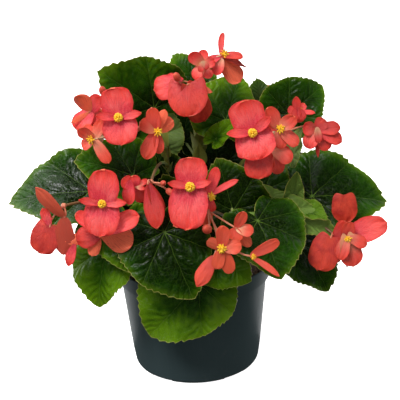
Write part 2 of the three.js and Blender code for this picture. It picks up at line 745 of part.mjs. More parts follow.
function pot() {
  const under = POT_HEIGHT - RIM_BAND;
  const fillet = [0, 0.5, 1].map((share) => {
    const angle = (share * Math.PI) / 2;
    return [
      potRadius(0) - BASE_FILLET * (1 - Math.sin(angle)),
      BASE_FILLET * (1 - Math.cos(angle)),
    ];
  });
  const inside = [
    [RIM_RADIUS - POT_WALL, POT_HEIGHT],
    [potRadius(under) - POT_WALL, under - 2],
    [potRadius(BASE_FILLET) - POT_WALL, BASE_FILLET + NOTCH_HEIGHT],
    [potRadius(0) - POT_WALL - BASE_FILLET, NOTCH_HEIGHT + POT_WALL],
    [0, NOTCH_HEIGHT + POT_WALL],
  ];
  const outside = [
    [potRadius(under), under],
    [RIM_RADIUS, under],
    [RIM_RADIUS, POT_HEIGHT],
  ];
  let shell = solid(turned([[0, 0], ...fillet, ...outside, ...inside], POT_SIDES));
  for (let i = 0; i < NOTCH_COUNT; i += 1) {
    const angle = ((i + 0.25) / NOTCH_COUNT) * 2 * Math.PI;
    const radius = potRadius(0) - NOTCH_DEPTH / 2;
    const notch = merged(new THREE.BoxGeometry(2 * NOTCH_DEPTH, NOTCH_WIDTH, 2 * NOTCH_HEIGHT));
    const drain = turned([[0, -1], [DRAIN_RADIUS, -1], [DRAIN_RADIUS, 9], [0, 9]], 6);
    notch.translate(NOTCH_DEPTH / 2, 0, 0);
    for (const cutter of [notch, drain]) {
      shell = shell.subtract(solid(cutter.translate(radius, 0, 0).rotateZ(angle)));
    }
  }
  return shell;
}

function soil() {
  const floor = NOTCH_HEIGHT + POT_WALL + TOUCH_GAP;
  const edge = (z) => potRadius(z) - POT_WALL - TOUCH_GAP;
  const profile = [
    [0, floor],
    [potRadius(0) - POT_WALL - BASE_FILLET - TOUCH_GAP, floor],
    [edge(BASE_FILLET) - 0.2, BASE_FILLET + NOTCH_HEIGHT],
    [edge(SOIL_TOP - 4) - 0.2, SOIL_TOP - 4],
    [52, SOIL_TOP],
    [26, SOIL_TOP],
    [0, SOIL_TOP],
  ];
  const shape = turned(profile, SOIL_SIDES);
  const position = shape.attributes.position;
  for (let i = 0; i < position.count; i += 1) {
    const [x, y, z] = [position.getX(i), position.getY(i), position.getZ(i)];
    const lump = SOIL_LUMPS * Math.sin(0.21 * x + 1) * Math.cos(0.17 * y - 2 + 0.05 * x);
    if (z === SOIL_TOP) position.setZ(i, z + lump);
  }
  let bed = solid(shape);
  for (const { root: [x, y], radius } of STEMS) {
    const hole = turned([
      [0, SOIL_TOP - ROOT_DEPTH - TOUCH_GAP],
      [radius + HOLE_CLEARANCE, SOIL_TOP - ROOT_DEPTH - TOUCH_GAP],
      [radius + HOLE_CLEARANCE, SOIL_TOP + 6],
      [0, SOIL_TOP + 6],
    ], CANE_SIDES);
    bed = bed.subtract(solid(hole.translate(x, y, 0)));
  }
  return bed;
}

const plant = new THREE.Group();
plant.add(named('pot', pot(), potPlastic), named('soil', soil(), soilBrown));
STEMS.forEach((stem, i) => {
  plant.add(named(`leafy_stem_${i + 1}`, leafyStem(stem), leafGreen));
  for (const spray of stem.sprays) {
    plant.add(named(`flower_spray_${spray.name}`, flowerSpray(spray, stem), petalCoral));
    spray.blooms.forEach((bloom, k) => {
      if (bloom.kind !== 'male' && bloom.kind !== 'female' && !bloom.shows) return;
      plant.add(named(`stamens_${spray.name}${k + 1}`, stamens(bloom), stamenYellow));
    });
  }
});

export default plant;
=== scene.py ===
# %% [markdown]
# # A flowering begonia in its nursery pot
#
# The object is one plant: a round plastic pot full of compost, ten leafy stems, and twelve sprays
# of coral blooms with yellow middles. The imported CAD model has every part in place, but its leaves
# and petals are coarse. This script makes each one again on a finer mesh. The leaves and the far blooms
# keep the CAD model's formulas and get toothed edges, pleats and ruffles. The near blooms are set petal
# by petal, after the photo.

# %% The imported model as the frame
import math

import bpy
import numpy as np
from mathutils import Euler, Matrix, Vector, noise


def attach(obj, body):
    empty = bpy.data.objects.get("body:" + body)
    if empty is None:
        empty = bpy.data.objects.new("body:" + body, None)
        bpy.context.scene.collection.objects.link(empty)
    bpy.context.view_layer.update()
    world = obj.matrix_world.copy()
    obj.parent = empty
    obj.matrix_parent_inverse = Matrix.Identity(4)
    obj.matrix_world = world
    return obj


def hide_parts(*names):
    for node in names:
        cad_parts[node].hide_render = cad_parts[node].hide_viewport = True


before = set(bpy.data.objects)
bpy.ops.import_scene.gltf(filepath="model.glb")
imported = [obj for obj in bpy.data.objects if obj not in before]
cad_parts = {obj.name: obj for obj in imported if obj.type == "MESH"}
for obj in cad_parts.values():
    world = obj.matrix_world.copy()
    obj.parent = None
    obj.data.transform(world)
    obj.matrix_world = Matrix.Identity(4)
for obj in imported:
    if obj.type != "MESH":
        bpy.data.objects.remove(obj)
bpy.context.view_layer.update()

MM = 0.001
print("CAD nodes:", len(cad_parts))

# %% [markdown]
# ## Small helpers for selecting, copying and moving points
#
# Blender's operators act on whatever is selected, so every step starts by selecting exactly what it
# needs. A shape that repeats is modelled once. Each copy gets its own mesh, and its points are then
# put where that one leaf or petal has them.


# %% Helpers for pieces
def only(piece, *others):
    bpy.ops.object.select_all(action="DESELECT")
    for one in (piece, *others):
        one.select_set(True)
    bpy.context.view_layer.objects.active = piece
    return piece


def points_of(piece):
    points = np.zeros(3 * len(piece.data.vertices))
    piece.data.vertices.foreach_get("co", points)
    return points.reshape(-1, 3)


def set_points(piece, points):
    piece.data.vertices.foreach_set("co", np.ascontiguousarray(points, float).ravel())
    piece.data.update()


def copy_of(piece, name):
    twin = piece.copy()
    twin.data = piece.data.copy()
    twin.name = name
    bpy.context.collection.objects.link(twin)
    return twin


def delete(*pieces):
    only(*pieces)
    bpy.ops.object.delete()


def joined(pieces, name):
    only(*pieces)
    if len(pieces) > 1:
        bpy.ops.object.join()
    whole = bpy.context.object
    whole.name = whole.data.name = name
    return whole


def apply_modifier(piece, kind, **settings):
    only(piece)
    modifier = piece.modifiers.new(kind, kind)
    for name, setting in settings.items():
        setattr(modifier, name, setting)
    bpy.ops.object.modifier_apply(modifier=modifier.name)


def smooth(piece, degrees):
    only(piece)
    bpy.ops.object.shade_smooth_by_angle(angle=math.radians(degrees))


def number_each_point(piece, name, values):
    layer = piece.data.attributes.new(name, "FLOAT", "POINT")
    spread = np.broadcast_to(values, len(piece.data.vertices))
    layer.data.foreach_set("value", spread.astype(np.float32))


def lay_flat(piece, name, flat):
    """Gives each point its place (u, v) on the flat leaf or petal, for patterns that follow it."""
    loops = np.zeros(len(piece.data.loops), int)
    piece.data.loops.foreach_get("vertex_index", loops)
    while piece.data.uv_layers:
        piece.data.uv_layers.remove(piece.data.uv_layers[0])
    layer = piece.data.uv_layers.new(name=name)
    layer.data.foreach_set("uv", np.ascontiguousarray(flat[loops], np.float32).ravel())


# %% Helpers for directions
def direction(facing):
    """The way an azimuth and elevation in degrees point. Azimuth 0 is toward the viewer, -Y."""
    turn, tilt = np.radians(facing)
    return np.array([math.sin(turn) * math.cos(tilt), -math.cos(turn) * math.cos(tilt), math.sin(tilt)])


def unit(vector):
    return vector / np.linalg.norm(vector)


def turned_about(vector, axis, degrees):
    return np.array(Matrix.Rotation(math.radians(degrees), 3, Vector(axis)) @ Vector(vector))


UP = np.array([0.0, 0.0, 1.0])

# %% [markdown]
# ## The camera
#
# The photo looks slightly down on the plant from about a metre away. The camera's place, focal length
# and tilt were fitted to the pot's rim and base, so that each pixel of the 400 by 400 frame
# shows the same spot of the plant as in the photo.

# %% Camera at the photo's angle
IMAGE_SIDE = 400
SENSOR = 36
FOCAL_PIXELS = 1091.9
CAMERA_PLACE = (0, -1.0, 0.5434)
CAMERA_PITCH, CAMERA_ROLL, CAMERA_YAW = 0.358, -0.040, 0.009

bpy.ops.object.camera_add()
camera = bpy.context.object
camera.data.sensor_width = SENSOR
camera.data.lens = FOCAL_PIXELS / IMAGE_SIDE * SENSOR
look = Euler((math.pi / 2 - CAMERA_PITCH, 0, -CAMERA_YAW)).to_matrix().to_4x4()
camera_turn = look @ Matrix.Rotation(CAMERA_ROLL, 4, "Z")
camera.matrix_world = Matrix.Translation(CAMERA_PLACE) @ camera_turn
bpy.context.scene.camera = camera
print("lens in mm:", round(camera.data.lens, 1))

# %% [markdown]
# ## Writing shader maths as plain expressions
#
# A finish is a network of nodes. Wiring every Math node by hand is slow to read, so a small class
# wraps a node's output and lets + - * / and ** add the Math node. Every other node comes from one
# method that takes its type, its settings and the values or links of its sockets.


# %% Shader helpers
class Value:
    """The output of a node, on which arithmetic adds Math nodes."""

    def __init__(self, socket):
        self.socket = socket

    def math(self, operation, *others):
        node = self.socket.id_data.nodes.new("ShaderNodeMath")
        node.operation = operation
        for place, value in enumerate((self, *others)):
            plug(node.inputs[place], value)
        return Value(node.outputs[0])

    def __add__(self, other):
        return self.math("ADD", other)

    def __sub__(self, other):
        return self.math("SUBTRACT", other)

    def __rsub__(self, other):
        return self.math("MULTIPLY_ADD", -1, other)

    def __mul__(self, other):
        return self.math("MULTIPLY", other)

    def __truediv__(self, other):
        return self.math("DIVIDE", other)

    def __pow__(self, other):
        return self.math("POWER", other)

    def __abs__(self):
        return self.math("ABSOLUTE")

    __radd__ = __add__
    __rmul__ = __mul__


def plug(socket, value):
    if isinstance(value, Value):
        socket.id_data.links.new(value.socket, socket)
    else:
        socket.default_value = value


def colour(red, green, blue):
    """A colour given as it looks on screen, 0 to 255, in the light values that shaders use."""
    levels = (level / 255 for level in (red, green, blue))
    return (*(x / 12.92 if x <= 0.04045 else ((x + 0.055) / 1.055) ** 2.4 for x in levels), 1)


class Finish:
    """A material and the few node recipes that all finishes share."""

    def __init__(self, name):
        self.material = bpy.data.materials.new(name)
        self.material.use_nodes = True
        self.tree = self.material.node_tree
        self.tree.nodes.clear()

    def node(self, kind, settings=(), inputs=(), output=0):
        node = self.tree.nodes.new("ShaderNode" + kind)
        for name, setting in dict(settings).items():
            if name == "stops":
                elements = node.color_ramp.elements
                for place, (position, tone) in enumerate(setting):
                    if place >= len(elements):
                        elements.new(position)
                    elements[place].position = position
                    elements[place].color = tone
            else:
                setattr(node, name, setting)
        for name, value in dict(inputs).items():
            plug(node.inputs[name], value)
        return Value(node.outputs[output]) if node.outputs else node

    def place(self):
        return self.node("TexCoord", output="Object")

    def flat_place(self, name):
        """The two coordinates of a leaf's or petal's own flat map."""
        flat = self.node("UVMap", {"uv_map": name})
        return flat, self.part(flat, 0), self.part(flat, 1)

    def part(self, vector, output):
        return self.node("SeparateXYZ", inputs={"Vector": vector}, output=output)

    def each_point(self, name):
        return self.node("Attribute", {"attribute_name": name}, output="Fac")

    def noise(self, vector, scale, detail=2.0):
        sockets = {"Vector": vector, "Scale": scale, "Detail": detail}
        return self.node("TexNoise", inputs=sockets, output="Fac")

    def cells(self, vector, scale, feature="F1"):
        """How far a spot is from the nearest point of a cell pattern, or from its nearest edge."""
        sockets = {"Vector": vector, "Scale": scale}
        return self.node("TexVoronoi", {"feature": feature}, sockets, output="Distance")

    def stretched(self, vector, scale):
        return self.node("Mapping", inputs={"Vector": vector, "Scale": scale})

    def step(self, value, low, high):
        """0 below low, 1 above high and a soft step between."""
        sockets = {"Value": value, "From Min": low, "From Max": high}
        return self.node("MapRange", {"interpolation_type": "SMOOTHSTEP"}, sockets)

    def line(self, distance, inner, outer):
        """1 on a line and 0 away from it."""
        return 1 - self.step(distance, inner, outer)

    def ramp(self, value, *stops):
        return self.node("ValToRGB", {"stops": stops}, {"Fac": value})

    def mix(self, share, first, second):
        return self.node("Mix", {"data_type": "RGBA"}, {0: share, 6: first, 7: second}, output=2)

    def bump(self, height, distance):
        return self.node("Bump", inputs={"Height": height, "Distance": distance})

    def surface(self, **sockets):
        """Ends the finish with a Principled shader. Socket names are written with underscores."""
        named = {name.replace("_", " "): value for name, value in sockets.items()}
        shader = self.node("BsdfPrincipled", inputs=named, output="BSDF")
        self.node("OutputMaterial", inputs={"Surface": shader})
        return self.material


print("a mid grey on screen is", round(colour(128, 128, 128)[0], 3), "in light")

# %% [markdown]
# ## The leaf's upper side
#
# A begonia leaf is leathery and glossy, darker with age, and puffed up between its veins. Pale main
# veins fan out from the stalk, side veins leave them in slanting rows, and a fine net fills the rest.
# In patches the puffs are painted lighter and the sunken veins darker, as painted light and shade of
# the relief, and the whitish grey tone is partly painted sheen. The leaf's own flat map has the stalk
# at its origin, so plain geometry in that map draws the veins: the angle finds the nearest main vein,
# and the distance from it slants the rows of side veins.

# %% Leaf finish, upper side
MAIN_VEINS = 8
SIDE_VEINS = 8.0


def vein_pattern(finish):
    """Masks of the main veins, the side veins and the fine net, and how far a spot is puffed up."""
    flat, u, v = finish.flat_place("leaf_map")
    wobble = (finish.noise(flat, 7.0) - 0.5) * 0.05
    u, v = u + wobble, v - wobble
    far = (u * u + v * v) ** 0.5
    angle = v.math("ARCTAN2", u)
    swing = abs((angle * (MAIN_VEINS / 2)).math("SINE"))
    beside = far * swing / (MAIN_VEINS / 2)
    main = finish.line(beside, 0.0025, 0.0095 - 0.006 * far)
    vein = (angle * (MAIN_VEINS / 2 / math.pi)).math("ROUND")
    shift = finish.noise(flat, 4.0) * 1.3 + vein * 0.37
    row = ((far - 1.5 * beside) * SIDE_VEINS + shift).math("FRACT")
    aside = 0.5 - abs(row - 0.5)
    side = finish.line(aside, 0.01, 0.07) * finish.step(far, 0.04, 0.16)
    net = finish.line(finish.cells(flat, 26.0, "DISTANCE_TO_EDGE"), 0.0, 0.1)
    puff = finish.step(aside, 0.0, 0.45) * finish.step(beside, 0.0, 0.05)
    return main, side, net, puff


def leaf_top(name, shine, relief):
    """The upper side, with its share of mirror-like light and the depth of its relief."""
    finish = Finish(name)
    main, side, net, puff = vein_pattern(finish)
    share = finish.each_point("share")
    mottle = finish.noise(finish.place(), 40.0, 5.0)
    spots = finish.noise(finish.place(), 130.0, 4.0)
    age = finish.each_point("tint") + (mottle - 0.5) * 0.85 + (share - 0.64) * 0.75
    # In patches the puffs between the veins are painted lighter and the sunken veins darker: painted
    # light and shade of the relief.
    relief_shade_patches = finish.step(finish.noise(finish.place(), 16.0), 0.38, 0.6)
    green = finish.ramp(
        age + (puff - 0.5) * relief_shade_patches * 0.13 + (spots - 0.5) * 0.4,
        (0.0, colour(6, 20, 0)), (0.3, colour(14, 42, 0)), (0.6, colour(34, 72, 2)),
        (1.0, colour(88, 126, 10)),
    )
    # Paling toward a whitish green: partly a young leaf's pale tone and partly painted sheen.
    green = finish.mix(finish.each_point("grey"), green, colour(118, 138, 78))
    green = finish.mix(net * 0.16, green, colour(72, 112, 16))
    green = finish.mix(side * 0.07, green, colour(96, 138, 40))
    hub = finish.line(share, 0.02, 0.3)
    green = finish.mix(main * (0.26 + hub * 0.3), green, colour(110, 144, 56))
    margin = finish.step(share, 0.86, 0.985)
    green = finish.mix(margin * 0.22, green, colour(104, 136, 14))
    edge = finish.step(share, 0.984, 1.0)
    green = finish.mix(edge * 0.7, green, colour(178, 170, 92))
    swell = finish.noise(finish.place(), 42.0, 1.0)
    crinkle = finish.noise(finish.place(), 150.0, 2.0)
    height = puff * 0.6 + swell * 2.3 + crinkle * 0.5 + (1 - net) * 0.2 - main * 0.4
    return finish.surface(
        Base_Color=green,
        Roughness=0.16 + 0.22 * mottle,
        Specular_IOR_Level=shine,
        Normal=finish.bump(height, relief),
    )


LEAF_TOP = leaf_top("leaf_upper_side", 0.1, 0.0009)
LEAF_GLOSSY = leaf_top("leaf_upper_side_glossy", 0.2, 0.0008)
print("leaf finishes:", LEAF_TOP.name, LEAF_GLOSSY.name)

# %% [markdown]
# ## The leaf's underside, the stalks and the canes
#
# Underneath, the leaf is paler and dull, and its veins stand out, often with a reddish tone. The
# stalks are smooth and juicy, with fine lengthwise streaks. Canes are brownish green with small pale
# specks, and the flower stalks turn from green to coral.


# %% Leaf underside and stalk finishes
def leaf_under():
    finish = Finish("leaf_underside")
    main, side, net, puff = vein_pattern(finish)
    green = finish.mix(finish.noise(finish.place(), 30.0, 3.0), colour(66, 88, 26), colour(88, 110, 40))
    green = finish.mix(net * 0.2, green, colour(120, 136, 84))
    green = finish.mix(side * 0.35, green, colour(140, 128, 84))
    green = finish.mix(main * 0.8, green, colour(150, 120, 84))
    return finish.surface(
        Base_Color=green,
        Roughness=0.55 + 0.1 * puff,
        Specular_IOR_Level=0.3,
        Normal=finish.bump(main + side * 0.5 - puff * 0.4, 0.0008),
    )


def stalk(name, first, second, speck, roughness):
    finish = Finish(name)
    place = finish.place()
    streaks = finish.noise(finish.stretched(place, (900, 900, 60)), 1.0, 3.0)
    tone = finish.mix(finish.noise(place, 22.0, 3.0), first, second)
    specks = finish.line(finish.cells(place, 420.0), 0.1, 0.24)
    tone = finish.mix(specks * 0.4, tone, speck)
    return finish.surface(
        Base_Color=finish.mix(streaks * 0.3, tone, speck),
        Roughness=roughness + 0.15 * streaks,
        Specular_IOR_Level=0.4,
        Normal=finish.bump(streaks + specks * 0.4, 0.0002),
    )


LEAF_UNDER = leaf_under()
CANE = stalk("cane_green_brown", colour(84, 96, 26), colour(92, 74, 30), colour(140, 146, 76), 0.45)
LEAF_STALK = stalk(
    "leaf_stalk_green", colour(84, 104, 42), colour(116, 128, 60), colour(156, 160, 100), 0.38,
)
FLOWER_STALK = stalk(
    "flower_stalk_coral", colour(190, 92, 62), colour(206, 128, 92), colour(232, 176, 150), 0.42,
)
STIPULE_SKIN = stalk(
    "stipule_olive_green", colour(84, 98, 26), colour(104, 108, 40), colour(132, 132, 70), 0.5,
)
BRANCH_STALK = stalk(
    "branch_stalk_red_green", colour(112, 62, 40), colour(92, 84, 40), colour(150, 112, 80), 0.4,
)
stalk_finishes = (CANE, LEAF_STALK, FLOWER_STALK, STIPULE_SKIN, BRANCH_STALK)
print("stalk finishes:", ", ".join(finish.name for finish in stalk_finishes))

# %% [markdown]
# ## The petals
#
# The petals are thin and silky: coral, pinker toward the middle, a little more orange at the rim, with
# faint darker veins that fan from the base. A sparkle of tiny cells and pale patches on the face are
# painted highlights, and dark patches and petals that hang in shadow are painted shade. Light passes
# through them, so they get some subsurface scattering. Their backs are duller and more orange. The
# petal's flat map has its length along u and its width along v, which is all that the fan of veins
# needs.


# %% Petal finishes
PETAL_GLOW = dict(Subsurface_Weight=0.18, Subsurface_Radius=(1.0, 0.35, 0.3), Subsurface_Scale=0.002)


def petal_veins(finish):
    """The petal's flat map, how far along the petal a spot is, and the mask of the fan of veins."""
    flat, u, v = finish.flat_place("petal_map")
    wobble = (finish.noise(finish.stretched(flat, (1, 3, 1)), 1.6, 2.0) - 0.5) * 0.45
    fan = (v.math("ARCTAN2", u + 0.12) + wobble) * 20.0
    faded = finish.step(finish.noise(flat, 3.0), 0.2, 0.7)
    return flat, u, finish.line(abs(fan.math("SINE")), 0.0, 0.65) * faded


def petal_face():
    finish = Finish("petal_face_coral")
    flat, u, veins = petal_veins(finish)
    place = finish.place()
    cells = finish.noise(place, 1100.0)
    patches = finish.noise(place, 90.0, 3.0)
    streaks = finish.noise(finish.stretched(flat, (3, 8, 1)), 1.0, 5.0)
    tone = finish.ramp(
        u + (patches - 0.5) * 0.7,
        (0.0, colour(190, 36, 54)), (0.25, colour(234, 62, 80)), (0.5, colour(250, 82, 84)),
        (0.8, colour(242, 68, 58)), (1.0, colour(220, 44, 34)),
    )
    deep = (0.35 + veins * 0.65) * finish.line(u, 0.05, 0.65)
    tone = finish.mix(deep * 0.75, tone, colour(164, 26, 50))
    tone = finish.mix(veins * 0.38, tone, colour(186, 36, 46))
    tone = finish.mix(finish.step(streaks, 0.42, 0.66) * 0.24, tone, colour(255, 126, 122))
    # Pale patches on the rises of the bump are painted sheen, and dark ones in its dips are painted
    # shade.
    tone = finish.mix(finish.step(patches, 0.48, 0.7) * 0.3, tone, colour(255, 122, 122))
    tone = finish.mix(finish.step(patches, 0.48, 0.3) * 0.3, tone, colour(222, 44, 48))
    # The sparkle of tiny cells is painted glints.
    tone = finish.mix(finish.step(cells, 0.45, 0.75) * 0.3, tone, colour(255, 120, 116))
    rim = finish.step(finish.each_point("rim") + (streaks - 0.5) * 0.3, 0.74, 1.0)
    tone = finish.mix(rim * 0.65, tone, colour(208, 40, 30))
    base = finish.line(u, 0.0, 0.75)
    # Painted shade for a petal that hangs in shadow: a darker red, mottled and veined, mixed in by each
    # point's share of it.
    dull = finish.mix(finish.step(patches, 0.3, 0.7), colour(206, 66, 42), colour(158, 32, 22))
    dull = finish.mix(veins * 0.3, dull, colour(150, 30, 26))
    tone = finish.mix(finish.each_point("dull"), tone, dull)
    tone = finish.mix(finish.each_point("warm"), tone, colour(226, 92, 58))
    tone = finish.mix(finish.each_point("pale") * base, tone, colour(240, 178, 138))
    return finish.surface(
        Base_Color=tone,
        Roughness=0.5 + 0.1 * cells,
        Specular_IOR_Level=0.3,
        **PETAL_GLOW,
        Normal=finish.bump(cells * 0.3 - veins * 0.5 + streaks * 0.5 + patches * 2.0, 0.0004),
    )


def petal_back():
    finish = Finish("petal_back_dull_red")
    _, u, veins = petal_veins(finish)
    place = finish.place()
    cells = finish.noise(place, 900.0)
    tone = finish.mix(finish.noise(place, 60.0, 3.0), colour(250, 118, 82), colour(230, 102, 72))
    tone = finish.mix(veins * 0.5, tone, colour(160, 44, 40))
    tone = finish.mix(finish.line(u, 0.0, 0.35) * 0.4, tone, colour(196, 124, 80))
    # Painted shade for a back that hangs in shadow.
    tone = finish.mix(finish.each_point("dull"), tone, colour(166, 60, 46))
    return finish.surface(
        Base_Color=tone,
        Roughness=0.55 + 0.1 * cells,
        Specular_IOR_Level=0.28,
        **PETAL_GLOW,
        Normal=finish.bump(cells * 0.5 + veins * 0.4, 0.0002),
    )


PETAL_FACE = petal_face()
PETAL_BACK = petal_back()
print("petal finishes:", PETAL_FACE.name, PETAL_BACK.name)

# %% [markdown]
# ## Buds, seed cases and stamens
#
# A bud shows the outsides of two closed petals, orange-red with paler flecks. The winged seed case
# behind a female flower is pinkish white with a green tint. The stamens and stigmas are a strong
# yellow, mottled with orange-yellow.


# %% Bud, seed case and stamen finishes
def soft_skin(name, first, second, third, scale):
    finish = Finish(name)
    place = finish.place()
    tone = finish.mix(finish.noise(place, scale, 3.0), first, second)
    fine = finish.noise(place, 700.0, 2.0)
    tone = finish.mix(finish.step(fine, 0.5, 0.8) * 0.5, tone, third)
    return finish.surface(
        Base_Color=tone,
        Roughness=0.45 + 0.15 * fine,
        Specular_IOR_Level=0.35,
        Subsurface_Weight=0.15,
        Subsurface_Radius=(1.0, 0.5, 0.3),
        Subsurface_Scale=0.0015,
        Normal=finish.bump(fine, 0.0002),
    )


BUD_SKIN = soft_skin(
    "bud_orange", colour(214, 88, 62), colour(184, 58, 44), colour(236, 140, 104), 120.0,
)
SEED_CASE = soft_skin(
    "seed_case_pale", colour(236, 186, 160), colour(206, 190, 130), colour(246, 214, 196), 90.0,
)
STAMEN = soft_skin(
    "stamen_yellow", colour(255, 214, 54), colour(255, 190, 42), colour(255, 238, 130), 420.0,
)
print("small finishes:", BUD_SKIN.name, SEED_CASE.name, STAMEN.name)

# %% [markdown]
# ## The stems, placed one by one
#
# The CAD model places every leaf and bloom with a table in millimetres, and this is the same table. A
# stem has its root, the point its cane bows toward, its tip and its radius. What grows from it says on
# which share of the cane it stands. A leaf runs from its joint with the stalk to its tip, and its face
# is where its upper side looks. bend and cup curve it, full says which half is the broad one, and wide
# stretches it. tint is how young and bright it is, grey how far it is paled toward a whitish green,
# which is partly a young leaf's pale tone and partly painted sheen, and glossy gives it more shine. A
# spray spreads its blooms from its hub. A bloom has its centre, its facing, its roll about that facing
# and its size. The blooms that the photo shows get their centre and facing from it further down.


# %% Table of stems, leaves and blooms
USUAL_LEAF = dict(bend=30, full=1, cup=0.1, wide=1, tint=0.45, grey=0, glossy=False)


def leaf_at(on, joint, tip, face, **more):
    return dict(USUAL_LEAF, on=on, joint=joint, tip=tip, face=face, **more)


def inner_leaf(on, joint, tip, face, tint, **more):
    """A leaf that only the scene has. Most of them show as a dark ground between the others."""
    return leaf_at(on, joint, tip, face, bend=15, tint=tint, **more)


def bloom_of(kind, at=None, face=None, roll=0, size=1):
    return dict(kind=kind, at=at, face=face, roll=roll, size=size)


def spray_at(name, on, hub, *blooms):
    return dict(name=name, on=on, hub=hub, blooms=blooms)


